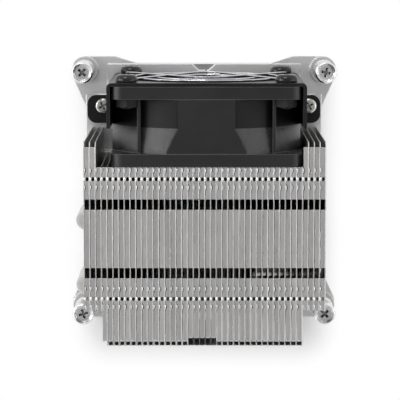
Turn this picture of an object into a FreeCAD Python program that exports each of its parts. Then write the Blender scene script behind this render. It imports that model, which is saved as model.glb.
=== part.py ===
import FreeCAD, Part
import math
import os
import re
import Sketcher
from FreeCAD import Placement, Rotation, Vector

# Active CPU cooler for a two-unit server: a die-cast base with a copper cold plate,
# four U-shaped heat pipes, a stack of folded fins, and a 60 mm fan held by a sheet-metal
# bracket with a wire guard. Four sprung captive screws fasten it round the socket.
#
# Frame, in millimetres: the origin is the centre of the cold plate's contact face and
# of the screw pattern, +Z points up to the fin tops, and +Y points towards the fan.

doc = FreeCAD.newDocument("cpu_cooler")
sheet = doc.addObject("Spreadsheet::Sheet", "sizes")

SIZES = {
    # fin stack
    "fin_pitch": 1.795, "fin_sheet": 0.3, "fin_count": 43, "fin_top": 64.0, "fold_gap": 0.05,
    "fin_front": 20.5, "fin_rear": 32.5, "tail_rear": 43.6, "tail_inset": 4,
    "fold_setback": 1.5, "notch_rear": 41.2, "notch_fins": 5, "fin_chamfer": 1.5,
    "slot_length": 3.3, "slot_front_y": 1.05, "slot_rear_y": -20.55,
    # base
    "foot_clearance": 2.0, "ear_top": 3.4, "deck_top": 4.0, "boss_top": 5.0, "block_top": 10.0,
    "block_margin": 0.3, "deck_half_x": 39.6, "deck_half_y": 31.6, "raised_half_x": 32.4,
    "raised_half_y": 41.8, "screw_spacing": 80.0, "boss_radius": 4.4, "ear_slope_start": 30.0,
    "ear_slope_end": 21.7, "trapeze_mouth": 4.1, "trapeze_floor": 1.75, "trapeze_depth": 2.2,
    "plate_half_x": 30.0, "plate_half_y": 33.0,
    # heat pipes
    "pipe_radius": 3.0, "pipe_gap": 0.05, "pipe_bend": 9.0, "pipe_step": 7.0,
    "pipe_first_y": -7.0, "pipe_top": 46.0, "pipe_left_out": 0.8, "pipe_right_in": 1.7,
    "pipe_upper_end": 14.0, "pipe_lower_end": 33.0,
    # fan housing
    "fan_size": 60.0, "fan_depth": 25.0, "fan_back": 12.8, "fan_gap": 0.1, "bay_left_gap": 3.4,
    "fan_corner": 4.0, "fan_flange": 4.0, "fan_hole_spacing": 50.0, "fan_hole_radius": 2.15,
    "duct_outer": 31.3, "duct_flare": 32.5, "flare_height": 12.0, "duct_inner": 29.0,
    "web_sheet": 1.0, "web_gap": 0.1, "mount_radius": 15.0, "mount_sheet": 2.2,
    "strut_width": 3.0, "strut_root": 0.5, "tube_radius": 4.0, "tube_top": 14.5,
    # fan rotor and motor
    "blade_count": 7, "blade_width": 1.9, "blade_top": 21.5, "blade_spread": 8.0,
    "blade_bow": 1.6, "tip_gap": 0.8,
    "hub_radius": 16.0, "hub_wall": 1.2, "hub_bottom": 4.6, "hub_top": 23.2,
    "hub_boss_radius": 3.0, "hub_boss_depth": 5.0, "shaft_radius": 1.5, "bearing_radius": 2.9,
    "running_gap": 0.05, "press_gap": 0.02, "yoke_wall": 0.8, "magnet_wall": 1.6,
    "magnet_bottom": 5.4, "magnet_top": 14.4, "air_gap": 0.5, "board_radius": 13.4,
    "board_sheet": 1.0, "core_bottom": 6.4, "core_top": 13.4, "pole_width": 4.0,
    "pole_shoe": 1.2, "core_ring": 2.0, "coil_wall": 1.2, "shaft_clip_sheet": 0.5,
    # bracket and guard
    "bracket_sheet": 1.1, "leg_back": 24.7, "leg_bottom": 5.0, "leg_top": 63.0,
    "foot_back": 22.0, "foot_front": 31.4, "foot_reach": 39.2, "foot_corner": 3.0,
    "bracket_opening": 27.3, "bracket_bend": 1.6, "guard_wire": 1.5, "ring_small": 9.5,
    "ring_step": 7.0, "leg_width": 1.65, "leg_turn": 14.0, "leg_turn_half": 3.2,
    "eyelet_radius": 2.9,
    # fasteners
    "guard_screw_radius": 1.9, "guard_head_radius": 3.4, "guard_head_height": 1.7,
    "guard_screw_end": 0.6, "nut_flats": 6.4, "nut_height": 2.6, "foot_screw_radius": 1.45,
    "foot_head_radius": 2.55, "foot_head_height": 1.6, "foot_screw_depth": 1.5,
    "foot_screw_y": 27.8, "foot_screw_x": 34.65, "stem_radius": 2.25, "stem_gap": 0.2,
    "thread_radius": 1.95, "groove_radius": 1.7, "stem_tip": 0.4, "cup_radius": 3.6,
    "cup_wall": 0.6, "cup_bottom": 10.0, "cup_roof": 2.4,
    "cup_top": 25.0, "clip_radius": 3.4, "clip_sheet": 0.5, "clip_gap": 0.1, "clip_slot": 2.4,
    "spring_wire": 0.6, "spring_gap": 0.1,
}
for row, (alias, value) in enumerate(SIZES.items(), 1):
    sheet.set("A%d" % row, alias)
    sheet.set("B%d" % row, str(value))
    sheet.setAlias("B%d" % row, alias)
doc.recompute()

# Places that several pieces share, worked out from the sizes.
DERIVED = {
    "first_fin": "-(fin_count - 1) * fin_pitch / 2",
    "last_fin": "(fin_count - 1) * fin_pitch / 2",
    "tail_right": "last_fin - tail_inset * fin_pitch",
    "bay_rear": "fan_back - fan_gap",
    "bay_right": "tail_right + fin_sheet + fold_gap / 2",
    "bay_left": "first_fin + fin_sheet + fold_gap / 2"
                " + fin_pitch * floor((fan_left - bay_left_gap - first_fin) / fin_pitch)",
    "notch_left": "first_fin + fin_sheet + fold_gap / 2"
                  " + fin_pitch * (floor((fin_count - notch_fins) / 2) - 1)",
    "fan_x": "tail_right + fin_sheet - fan_gap - fan_size / 2",
    "fan_left": "fan_x - fan_size / 2",
    "fan_z": "deck_top + fan_size / 2",
    "fan_right": "fan_x + fan_size / 2",
    "fan_front": "fan_back + fan_depth",
    "web_offset": "fan_hole_half - nut_flats / 2 - web_gap",
    "block_left": "first_fin - block_margin",
    "block_right": "last_fin + fin_sheet + block_margin",
    "pipe_low": "foot_clearance + pipe_gap + pipe_radius",
    "pipe_room": "pipe_radius + pipe_gap",
    "notch_room": "pipe_step / 2 + pipe_gap",
    "left_run": "first_fin - pipe_left_out",
    "right_run": "last_fin - pipe_right_in",
    "screw_half": "screw_spacing / 2",
    "fan_hole_half": "fan_hole_spacing / 2",
    "board_bottom": "mount_sheet + press_gap",
    "hub_bore": "hub_radius - hub_wall",
    "yoke_radius": "hub_bore - press_gap",
    "magnet_radius": "yoke_radius - yoke_wall - press_gap",
    "pole_radius": "magnet_radius - magnet_wall - air_gap",
    "blade_radius": "duct_inner - tip_gap",
    "guard_base": "fan_depth + bracket_sheet",
    "head_seat": "guard_base + guard_wire",
    "flange_under": "fan_depth - fan_flange",
    "foot_top": "deck_top + bracket_sheet",
    "cup_inside": "cup_radius - cup_wall",
    "clip_high": "foot_clearance - clip_gap",
    "clip_low": "clip_high - clip_sheet",
}

OVERCUT = "1"
DIAGONAL = "%.5f" % math.sqrt(0.5)


def expression(text):
    """The text with derived places written out and each size led by its sheet's name."""
    derived = re.compile(r"\b(%s)\b" % "|".join(DERIVED))
    text = str(text)
    while derived.search(text):
        text = derived.sub(lambda found: "(%s)" % DERIVED[found.group(1)], text)
    return re.sub(r"\b(%s)\b" % "|".join(SIZES), r"sizes.\1", text)


def number(text):
    return float(sheet.evalExpression(expression(text)))


def bind(thing, name, text):
    thing.setExpression(name, expression(text))


def new_body(label, x="0", y="0", z="0", turn=Rotation()):
    """An empty body whose own origin lies at the given place."""
    body = doc.addObject("PartDesign::Body", label)
    body.Label = label
    body.Placement = Placement(Vector(), turn)
    for axis, text in (("x", x), ("y", y), ("z", z)):
        bind(body, "Placement.Base." + axis, text)
    return body


def fan_body(label):
    """A body in the fan's frame: its z runs along the air flow's axis, from back to front."""
    return new_body(label, "fan_x", "fan_back", "fan_z", Rotation(Vector(1, 0, 0), -90))


def new_sketch(body, name, plane="XY_Plane", height="0"):
    sketch = body.newObject("Sketcher::SketchObject", name)
    face = next(f for f in body.Origin.OriginFeatures if f.Role == plane)
    sketch.AttachmentSupport = [(face, "")]
    sketch.MapMode = "FlatFace"
    bind(sketch, "AttachmentOffset.Base.z", height)
    return sketch


def pin(sketch, edge, end, x, y):
    """Hold one point of an edge at x, y."""
    for kind, text in (("DistanceX", x), ("DistanceY", y)):
        held = sketch.addConstraint(Sketcher.Constraint(kind, -1, 1, edge, end, number(text)))
        bind(sketch, "Constraints[%d]" % held, text)


def polygon(sketch, points):
    """A closed outline of straight edges through the points."""
    first = sketch.GeometryCount
    corners = [Vector(number(x), number(y), 0) for x, y in points]
    ends = corners[1:] + corners[:1]
    for start, end in zip(corners, ends):
        sketch.addGeometry(Part.LineSegment(start, end), False)
    for k in range(len(points)):
        after = first + (k + 1) % len(points)
        sketch.addConstraint(Sketcher.Constraint("Coincident", first + k, 2, after, 1))
    for k, (x, y) in enumerate(points):
        pin(sketch, first + k, 1, x, y)


def curved_outline(sketch, corners, bows):
    """A closed outline whose edges are arcs through their bow points, or straight with none."""
    first = sketch.GeometryCount
    count = len(corners)
    places = [Vector(number(x), number(y), 0) for x, y in corners]
    for k, bow in enumerate(bows):
        start, end = places[k], places[(k + 1) % count]
        if bow is None:
            sketch.addGeometry(Part.LineSegment(start, end), False)
        else:
            through = Vector(number(bow[0]), number(bow[1]), 0)
            if (through - start).cross(end - through).z < 0:
                start, end = end, start
            sketch.addGeometry(Part.Arc(start, through, end), False)
            mark = sketch.addGeometry(Part.Point(through), True)
            pin(sketch, mark, 1, *bow)
            sketch.addConstraint(Sketcher.Constraint("PointOnObject", mark, 1, mark - 1))
    edges = [k for k in range(first, sketch.GeometryCount) if not sketch.getConstruction(k)]
    for k, edge in enumerate(edges):
        ends = sketch.Geometry[edge]
        after = edges[(k + 1) % count]
        leaves = 2 if near(ends.EndPoint, places[(k + 1) % count]) else 1
        enters = 1 if near(sketch.Geometry[after].StartPoint, places[(k + 1) % count]) else 2
        sketch.addConstraint(Sketcher.Constraint("Coincident", edge, leaves, after, enters))
        pin(sketch, edge, leaves, *corners[(k + 1) % count])


def near(point, other):
    return (point - other).Length < 1e-6


def rectangle(sketch, left, low, right, high):
    polygon(sketch, [(left, low), (right, low), (right, high), (left, high)])


def circle(sketch, x, y, radius):
    edge = sketch.addGeometry(Part.Circle(Vector(number(x), number(y), 0), Vector(0, 0, 1),
                                          number(radius)), False)
    pin(sketch, edge, 3, x, y)
    held = sketch.addConstraint(Sketcher.Constraint("Radius", edge, number(radius)))
    bind(sketch, "Constraints[%d]" % held, radius)


def mirrored_corners(x, y):
    """The four places at plus and minus x and y."""
    return [(sx + x, sy + y) for sx in ("", "-") for sy in ("", "-")]


def pad(body, sketch, length, reverse=False, midplane=False):
    feature = body.newObject("PartDesign::Pad", sketch.Name + "_pad")
    feature.Profile = sketch
    feature.Reversed = reverse
    feature.Midplane = midplane
    bind(feature, "Length", length)
    return feature


def pocket(body, sketch, length=None, reverse=False, midplane=False):
    """A cut against the sketch's normal, or along it in reverse, right through if no length."""
    feature = body.newObject("PartDesign::Pocket", sketch.Name + "_pocket")
    feature.Profile = sketch
    feature.Reversed = reverse
    feature.Midplane = midplane
    if length is None:
        feature.Type = "ThroughAll"
    else:
        bind(feature, "Length", length)
    return feature


def turned(body, sketch, kind="PartDesign::Revolution"):
    """The sketch turned about the body's own z axis."""
    feature = body.newObject(kind, sketch.Name + "_turned")
    feature.Profile = sketch
    axis = next(f for f in body.Origin.OriginFeatures if f.Role == "Z_Axis")
    feature.ReferenceAxis = (axis, [""])
    feature.Angle = 360
    return feature


def ring(body, name, inner, outer, low, high):
    """A plain ring or tube about the body's z axis."""
    sketch = new_sketch(body, name, "XZ_Plane")
    rectangle(sketch, inner, low, outer, high)
    return turned(body, sketch)


def pattern(body, kind, originals, axis_role, count, spacing=None):
    feature = body.newObject("PartDesign::" + kind, originals[0].Name + "_copies")
    feature.Originals = originals
    axis = next(f for f in body.Origin.OriginFeatures if f.Role == axis_role)
    if kind == "PolarPattern":
        feature.Axis = (axis, [""])
        feature.Angle = 360
    else:
        feature.Direction = (axis, [""])
        feature.Mode = "Spacing"
        bind(feature, "Offset", spacing)
    bind(feature, "Occurrences", count)
    body.Tip = feature
    return feature


def fillet(body, choose, radius):
    """Round the edges of the body's last feature that the test picks."""
    doc.recompute()
    base = body.Tip
    edges = ["Edge%d" % k for k, edge in enumerate(base.Shape.Edges, 1) if choose(edge)]
    feature = body.newObject("PartDesign::Fillet", body.Name + "_fillet")
    feature.Base = (base, edges)
    bind(feature, "Radius", radius)
    return feature


def upright(edge):
    """Whether an edge is straight and parallel to the z axis of the shape's frame."""
    if not isinstance(edge.Curve, Part.Line):
        return False
    along = edge.tangentAt(edge.FirstParameter)
    return abs(abs(along.z) - 1) < 1e-6


# ---------------------------------------------------------------- heat pipes
# Each pipe is a U on its side in a plane of constant Y: a lower leg in a channel of the
# base, an upright run just beside the outermost fins, and an upper leg through the fins.
PIPES = {"heat_pipe_1": (0, "left"), "heat_pipe_2": (1, "right"),
         "heat_pipe_3": (2, "right"), "heat_pipe_4": (3, "left")}


def pipe_y(order):
    return "pipe_first_y - %d * pipe_step" % order


def outward(side):
    """The sign of X on the side where the pipe turns upwards, and its upright run's X."""
    return ("-", "left_run") if side == "left" else ("", "right_run")


def heat_pipe(label, order, side):
    body = new_body(label, y=pipe_y(order))
    sign, run = outward(side)
    other = "" if side == "left" else "-"
    centre = "%s - (%s pipe_bend)" % (run, sign)
    path = new_sketch(body, label + "_path", "XZ_Plane")
    low_end = (other + "pipe_lower_end", "pipe_low")
    high_end = (sign + "pipe_upper_end", "pipe_top")
    low_turn = (centre, "pipe_low")
    high_turn = (centre, "pipe_top")
    run_low = (run, "pipe_low + pipe_bend")
    run_high = (run, "pipe_top - pipe_bend")
    lines = [(low_end, low_turn), (run_low, run_high), (high_turn, high_end)]
    for start, end in lines:
        edge = path.addGeometry(Part.LineSegment(*[Vector(number(x), number(z), 0)
                                                   for x, z in (start, end)]), False)
        pin(path, edge, 1, *start)
        pin(path, edge, 2, *end)
    arcs = [((centre, "pipe_low + pipe_bend"), low_turn, run_low),
            ((centre, "pipe_top - pipe_bend"), run_high, high_turn)]
    for middle, start, end in arcs:
        corners = [Vector(number(x), number(z), 0) for x, z in (middle, start, end)]
        halfway = (corners[1] + corners[2]) * 0.5 - corners[0]
        halfway.normalize()
        bow = corners[0] + halfway * number("pipe_bend")
        edge = path.addGeometry(Part.Arc(corners[1], bow, corners[2]), False)
        pin(path, edge, 3, *middle)
    section = new_sketch(body, label + "_section", "YZ_Plane", other + "pipe_lower_end")
    corners = [math.radians(30 * k + 15) for k in range(12)]
    polygon(section, [("pipe_radius * %r" % round(math.cos(turn), 5),
                       "pipe_low + pipe_radius * %r" % round(math.sin(turn), 5))
                      for turn in corners])
    sweep = body.newObject("PartDesign::AdditivePipe", label + "_sweep")
    sweep.Profile = section
    doc.recompute()
    sweep.Spine = (path, ["Edge%d" % k for k in range(1, len(path.Shape.Edges) + 1)])
    return body


def pipe_relief(body, order, side, half_width):
    """Cut the room of one pipe out of a group of fins: hole, bend and side notch."""
    sign, run = outward(side)
    middle = "%s - (%s pipe_bend)" % (run, sign)
    inner = "(pipe_bend - pipe_room)"
    outer = "(pipe_bend + pipe_room)"
    corner = "%.5f" % math.tan(math.pi / 8)
    high = "(pipe_top - pipe_bend)"
    low = "(pipe_low + pipe_bend)"

    def away(distance):
        return "%s + (%s %s)" % (middle, sign, distance)

    points = [
        (middle, "deck_top"),
        (away(inner + " * " + DIAGONAL), "%s - %s * %s" % (low, inner, DIAGONAL)),
        (away(inner), low), (away(inner), high),
        (away(inner + " * " + DIAGONAL), "%s + %s * %s" % (high, inner, DIAGONAL)),
        (middle, "%s + %s" % (high, inner)),
        (sign + "(pipe_upper_end - pipe_gap)", "%s + %s" % (high, inner)),
        (sign + "(pipe_upper_end - pipe_gap)", "%s + %s" % (high, outer)),
        (away(outer + " * " + corner), "%s + %s" % (high, outer)),
        (away(outer), "%s + %s * %s" % (high, outer, corner)),
        (away(outer + " + pipe_gap"), "deck_top"),
    ]
    sketch = new_sketch(body, "%s_relief_%d" % (body.Name, order + 1), "XZ_Plane",
                        "-(%s)" % pipe_y(order))
    polygon(sketch, points)
    return pocket(body, sketch, "2 * (%s)" % half_width, midplane=True)


# ---------------------------------------------------------------- fins
# A fin is one folded sheet: an upright web and, on all but the first, a fold along its top
# edge that reaches back to the fin before it, so the folds close the top of the stack.

def fin_group(label, first, count, rear, setback="0", unfolded=0):
    """Fins from a place in the stack onwards; the unfolded ones at its start lack the fold."""
    body = new_body(label)
    start = "first_fin + (%s) * fin_pitch" % first
    outline = new_sketch(body, label + "_web", "YZ_Plane", start)
    polygon(outline, [("-" + rear, "block_top"), ("bay_rear", "block_top"),
                      ("bay_rear", "deck_top"), ("fin_front", "deck_top"),
                      ("fin_front", "fin_top - fin_chamfer"),
                      ("fin_front - fin_chamfer", "fin_top"), ("-" + rear, "fin_top")])
    web = pad(body, outline, "fin_sheet")
    pattern(body, "LinearPattern", [web], "X_Axis", count, "fin_pitch")
    fold = new_sketch(body, label + "_fold", "XY_Plane", "fin_top")
    fold_end = start + " + %d * fin_pitch" % unfolded
    stops = ["-%s + %s" % (rear, setback),
             "slot_rear_y - slot_length / 2", "slot_rear_y + slot_length / 2",
             "slot_front_y - slot_length / 2", "slot_front_y + slot_length / 2",
             "fin_front - fold_setback"]
    for low, high in zip(stops[0::2], stops[1::2]):
        rectangle(fold, fold_end + " - fin_pitch + fin_sheet + fold_gap", low, fold_end, high)
    folded = pad(body, fold, "fin_sheet", reverse=True)
    pattern(body, "LinearPattern", [folded], "X_Axis", "%s - %d" % (count, unfolded), "fin_pitch")
    return body


def cut_fan_bay(body):
    sketch = new_sketch(body, body.Name + "_bay", "XY_Plane", "deck_top - " + OVERCUT)
    rectangle(sketch, "bay_left", "bay_rear", "bay_right", "fin_front + " + OVERCUT)
    return pocket(body, sketch, "fin_top", reverse=True)


def cut_rear_notch(body):
    sketch = new_sketch(body, body.Name + "_notch", "XY_Plane", "block_top - " + OVERCUT)
    rectangle(sketch, "notch_left", "-tail_rear - " + OVERCUT,
              "notch_left + notch_fins * fin_pitch", "-notch_rear")
    return pocket(body, sketch, "fin_top", reverse=True)


def fins():
    left = fin_group("left_fins", "0", "tail_inset", "fin_rear", unfolded=1)
    centre = fin_group("centre_fins", "tail_inset", "fin_count - 2 * tail_inset", "tail_rear",
                       "fold_setback")
    right = fin_group("right_fins", "fin_count - tail_inset", "tail_inset", "fin_rear")
    cut_fan_bay(left)
    cut_fan_bay(centre)
    cut_rear_notch(centre)
    for order, side in PIPES.values():
        pipe_relief(centre, order, side, "pipe_room")
        pipe_relief(left if side == "left" else right, order, side, "notch_room")


# ---------------------------------------------------------------- base
# One casting: a thin deck with four screw ears, a thick block under the fins that holds the
# pipes' lower legs in channels, and round bosses for the captive screws.

def all_round(quarter):
    """An outline from its corners in the first quadrant, mirrored into the other three."""
    points = []
    for sign_x, sign_y in (("", ""), ("-", ""), ("-", "-"), ("", "-")):
        turn = quarter if sign_x == sign_y else quarter[::-1]
        points += [(sign_x + "(%s)" % x, sign_y + "(%s)" % y) for x, y in turn]
    return points


def base():
    body = new_body("base")
    ears = new_sketch(body, "ears", "XY_Plane", "foot_clearance")
    polygon(ears, all_round([
        ("deck_half_x", "deck_half_y - boss_radius"),
        ("screw_half + boss_radius", "screw_half - boss_radius / 2"),
        ("screw_half + boss_radius", "screw_half"), ("screw_half", "screw_half + boss_radius"),
        ("ear_slope_start", "screw_half + boss_radius"), ("ear_slope_end", "raised_half_y")]))
    pad(body, ears, "ear_top - foot_clearance")
    deck = new_sketch(body, "deck", "XY_Plane", "foot_clearance")
    polygon(deck, all_round([("deck_half_x", "deck_half_y"), ("raised_half_x", "deck_half_y"),
                             ("raised_half_x", "raised_half_y")]))
    pad(body, deck, "deck_top - foot_clearance")
    block = new_sketch(body, "block", "XY_Plane", "foot_clearance")
    polygon(block, [("block_left", "bay_rear"), ("block_left", "-deck_half_y"),
                    ("-raised_half_x", "-deck_half_y"), ("-raised_half_x", "-raised_half_y"),
                    ("raised_half_x", "-raised_half_y"), ("raised_half_x", "-deck_half_y"),
                    ("block_right", "-deck_half_y"), ("block_right", "bay_rear")])
    pad(body, block, "block_top - foot_clearance")
    bosses = new_sketch(body, "bosses", "XY_Plane", "foot_clearance")
    holes = new_sketch(body, "screw_holes", "XY_Plane", "boss_top")
    for x, y in mirrored_corners("screw_half", "screw_half"):
        circle(bosses, x, y, "boss_radius")
        circle(holes, x, y, "stem_radius + stem_gap")
    pad(body, bosses, "boss_top - foot_clearance")
    pocket(body, holes)
    trapeze = new_sketch(body, "trapeze", "XY_Plane", "deck_top")
    polygon(trapeze, [("-trapeze_mouth", "raised_half_y + " + OVERCUT),
                      ("-trapeze_mouth", "raised_half_y"),
                      ("-trapeze_floor", "raised_half_y - trapeze_depth"),
                      ("trapeze_floor", "raised_half_y - trapeze_depth"),
                      ("trapeze_mouth", "raised_half_y"),
                      ("trapeze_mouth", "raised_half_y + " + OVERCUT)])
    pocket(body, trapeze)
    taps = new_sketch(body, "foot_taps", "XY_Plane", "deck_top")
    for sign in ("-", "+"):
        circle(taps, "fan_x %s foot_screw_x" % sign, "foot_screw_y",
               "foot_screw_radius + press_gap")
    pocket(body, taps)
    for label, (order, side) in PIPES.items():
        centre = pipe_y(order)
        sign, run = outward(side)
        other = "" if side == "left" else "-"
        bend = "%s - (%s pipe_bend)" % (run, sign)
        channel = new_sketch(body, label + "_channel", "XY_Plane", "foot_clearance")
        rectangle(channel, bend, centre + " - pipe_room", other + "(pipe_lower_end + pipe_gap)",
                  centre + " + pipe_room")
        pocket(body, channel, "pipe_low + pipe_room - foot_clearance", reverse=True)
        notch = new_sketch(body, label + "_notch", "XY_Plane", "block_top")
        rectangle(notch, sign + "(deck_half_x + 2)", centre + " - notch_room", bend,
                  centre + " + notch_room")
        pocket(body, notch)
    return body


def cold_plate():
    body = new_body("cold_plate")
    outline = new_sketch(body, "contact_face")
    rectangle(outline, "-plate_half_x", "-plate_half_y", "plate_half_x", "plate_half_y")
    pad(body, outline, "foot_clearance")
    return body


# ---------------------------------------------------------------- fan
# A square moulding in three slices that meet face to face: the outlet's flange with the motor
# mount, a duct that is wider than the square, so its sides are flat, and the inlet's flange.

def fan_flange(label, low):
    """A square plate with the duct's bore and four screw holes."""
    body = fan_body(label)
    outline = new_sketch(body, label + "_outline", "XY_Plane", low)
    rectangle(outline, "-fan_size / 2", "-fan_size / 2", "fan_size / 2", "fan_size / 2")
    circle(outline, "0", "0", "duct_inner")
    for x, y in mirrored_corners("fan_hole_half", "fan_hole_half"):
        circle(outline, x, y, "fan_hole_radius")
    pad(body, outline, "fan_flange")
    corner = number("fan_size") / 2
    fillet(body, lambda edge: upright(edge) and all(
        abs(abs(end.Point.x) - corner) < 1e-6 and abs(abs(end.Point.y) - corner) < 1e-6
        for end in edge.Vertexes), "fan_corner")
    return body


def fan_duct():
    body = fan_body("fan_duct")
    wall = new_sketch(body, "duct_wall", "XZ_Plane")
    polygon(wall, [("duct_inner", "fan_flange"), ("duct_flare", "fan_flange"),
                   ("duct_outer", "flare_height"), ("duct_outer", "flange_under"),
                   ("duct_inner", "flange_under")])
    turned(body, wall)
    webs = new_sketch(body, "corner_webs", "XY_Plane", "fan_flange")
    for sign_x, sign_y in (("", ""), ("-", ""), ("", "-"), ("-", "-")):
        rectangle(webs, sign_x + "(web_offset - web_sheet)", sign_y + "web_offset",
                  sign_x + "web_offset", sign_y + "(fan_size / 2 - web_gap)")
    pad(body, webs, "flange_under - fan_flange")
    trim = new_sketch(body, "square_sides", "XY_Plane", "fan_depth")
    rectangle(trim, "-fan_size", "-fan_size", "fan_size", "fan_size")
    rectangle(trim, "-fan_size / 2", "-fan_size / 2", "fan_size / 2", "fan_size / 2")
    pocket(body, trim)


def motor_mount(body):
    """The plate and tube that carry the motor, and four struts across the outlet."""
    strut = new_sketch(body, "strut")
    rectangle(strut, "0", "-strut_width / 2", "duct_inner + strut_root", "strut_width / 2")
    struts = pad(body, strut, "mount_sheet")
    pattern(body, "PolarPattern", [struts], "Z_Axis", "4")
    mount = new_sketch(body, "mount_plate")
    circle(mount, "0", "0", "mount_radius")
    pad(body, mount, "mount_sheet")
    tube = new_sketch(body, "bearing_tube")
    circle(tube, "0", "0", "tube_radius")
    pad(body, tube, "tube_top")
    seat = new_sketch(body, "bearing_seat", "XY_Plane", "tube_top")
    circle(seat, "0", "0", "bearing_radius + press_gap")
    pocket(body, seat, "tube_top - mount_sheet / 2")


def impeller():
    body = fan_body("impeller")
    hub = new_sketch(body, "hub", "XZ_Plane")
    polygon(hub, [("shaft_radius + press_gap", "hub_top - hub_boss_depth"),
                  ("hub_boss_radius", "hub_top - hub_boss_depth"),
                  ("hub_boss_radius", "hub_top - hub_wall"), ("hub_bore", "hub_top - hub_wall"),
                  ("hub_bore", "hub_bottom"), ("hub_radius", "hub_bottom"),
                  ("hub_radius", "hub_top"), ("0", "hub_top"),
                  ("0", "hub_top - hub_wall"), ("shaft_radius + press_gap", "hub_top - hub_wall")])
    turned(body, hub)
    section = new_sketch(body, "blade_section", "YZ_Plane", "hub_radius - hub_wall / 2")
    low, high = "hub_bottom + hub_wall", "blade_top"
    corners = [("-blade_spread", low), ("blade_spread", high),
               ("blade_spread - blade_width", high), ("-blade_spread - blade_width", low)]
    bow = [("blade_bow", "(%s + %s) / 2 - blade_bow" % (low, high)), None,
           ("blade_bow - blade_width", "(%s + %s) / 2 - blade_bow" % (low, high)), None]
    curved_outline(section, corners, bow)
    blade = pad(body, section, "duct_inner - hub_radius + hub_wall")
    pattern(body, "PolarPattern", [blade], "Z_Axis", "blade_count")
    tips = new_sketch(body, "blade_tips", "XZ_Plane")
    rectangle(tips, "blade_radius", "0", "2 * duct_inner", "fan_depth")
    turned(body, tips, "PartDesign::Groove")
    return body


def motor():
    """What turns with the impeller, then what stands still inside its hub."""
    yoke = fan_body("rotor_yoke")
    cup = new_sketch(yoke, "yoke_cup", "XZ_Plane")
    roof = "hub_top - hub_wall - press_gap"
    polygon(cup, [("yoke_radius", "magnet_bottom"), ("yoke_radius", roof),
                  ("hub_boss_radius + press_gap", roof),
                  ("hub_boss_radius + press_gap", roof + " - yoke_wall"),
                  ("yoke_radius - yoke_wall", roof + " - yoke_wall"),
                  ("yoke_radius - yoke_wall", "magnet_bottom")])
    turned(yoke, cup)
    ring(fan_body("rotor_magnet"), "magnet", "magnet_radius - magnet_wall", "magnet_radius",
         "magnet_bottom", "magnet_top")
    shaft_low = "mount_sheet + press_gap"
    ring(fan_body("fan_shaft"), "shaft", "0", "shaft_radius", shaft_low,
         "hub_top - hub_wall - press_gap")
    ring(fan_body("shaft_clip"), "clip", "shaft_radius + press_gap",
         "bearing_radius - running_gap * 4", shaft_low, shaft_low + " + shaft_clip_sheet")
    ring(fan_body("shaft_bearing"), "bearing", "shaft_radius + running_gap", "bearing_radius",
         shaft_low + " + 2 * shaft_clip_sheet", "tube_top - running_gap")
    ring(fan_body("circuit_board"), "board", "tube_radius + press_gap", "board_radius",
         "board_bottom", "board_bottom + board_sheet")
    core = fan_body("stator_core")
    ring(core, "core_hub", "tube_radius + press_gap", "tube_radius + core_ring", "core_bottom",
         "core_top")
    pole = new_sketch(core, "pole", "XY_Plane", "core_bottom")
    tip = "pole_radius - pole_shoe"
    side = "pole_radius - pole_shoe / 2"
    polygon(pole, [("tube_radius + core_ring / 2", "-pole_width / 2"), (tip, "-pole_width / 2"),
                   (tip, "-pole_width"), (side, "-pole_width"),
                   ("pole_radius", "0"), (side, "pole_width"),
                   (tip, "pole_width"), (tip, "pole_width / 2"),
                   ("tube_radius + core_ring / 2", "pole_width / 2")])
    first = pad(core, pole, "core_top - core_bottom")
    pattern(core, "PolarPattern", [first], "Z_Axis", "4")
    coils = fan_body("stator_coils")
    coil = new_sketch(coils, "coil", "YZ_Plane", "tube_radius + core_ring + coil_wall")
    rectangle(coil, "-pole_width / 2 - coil_wall", "core_bottom - coil_wall",
              "pole_width / 2 + coil_wall", "core_top + coil_wall")
    rectangle(coil, "-pole_width / 2 - press_gap", "core_bottom - press_gap",
              "pole_width / 2 + press_gap", "core_top + press_gap")
    wound = pad(coils, coil, "pole_radius - pole_shoe - press_gap"
                " - (tube_radius + core_ring + coil_wall)")
    pattern(coils, "PolarPattern", [wound], "Z_Axis", "4")


# ---------------------------------------------------------------- bracket and guard
# The bracket is one folded sheet: a front plate with a round opening, a leg down each side
# of the fan, and a foot bent outwards at the bottom of each leg for its screw.

def bracket_sides():
    """The X span of each leg and the outer end of its foot, left then right."""
    return [("fan_left - fan_gap - bracket_sheet", "fan_left - fan_gap", "-foot_reach"),
            ("fan_right + fan_gap + bracket_sheet", "fan_right + fan_gap", "foot_reach")]


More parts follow.
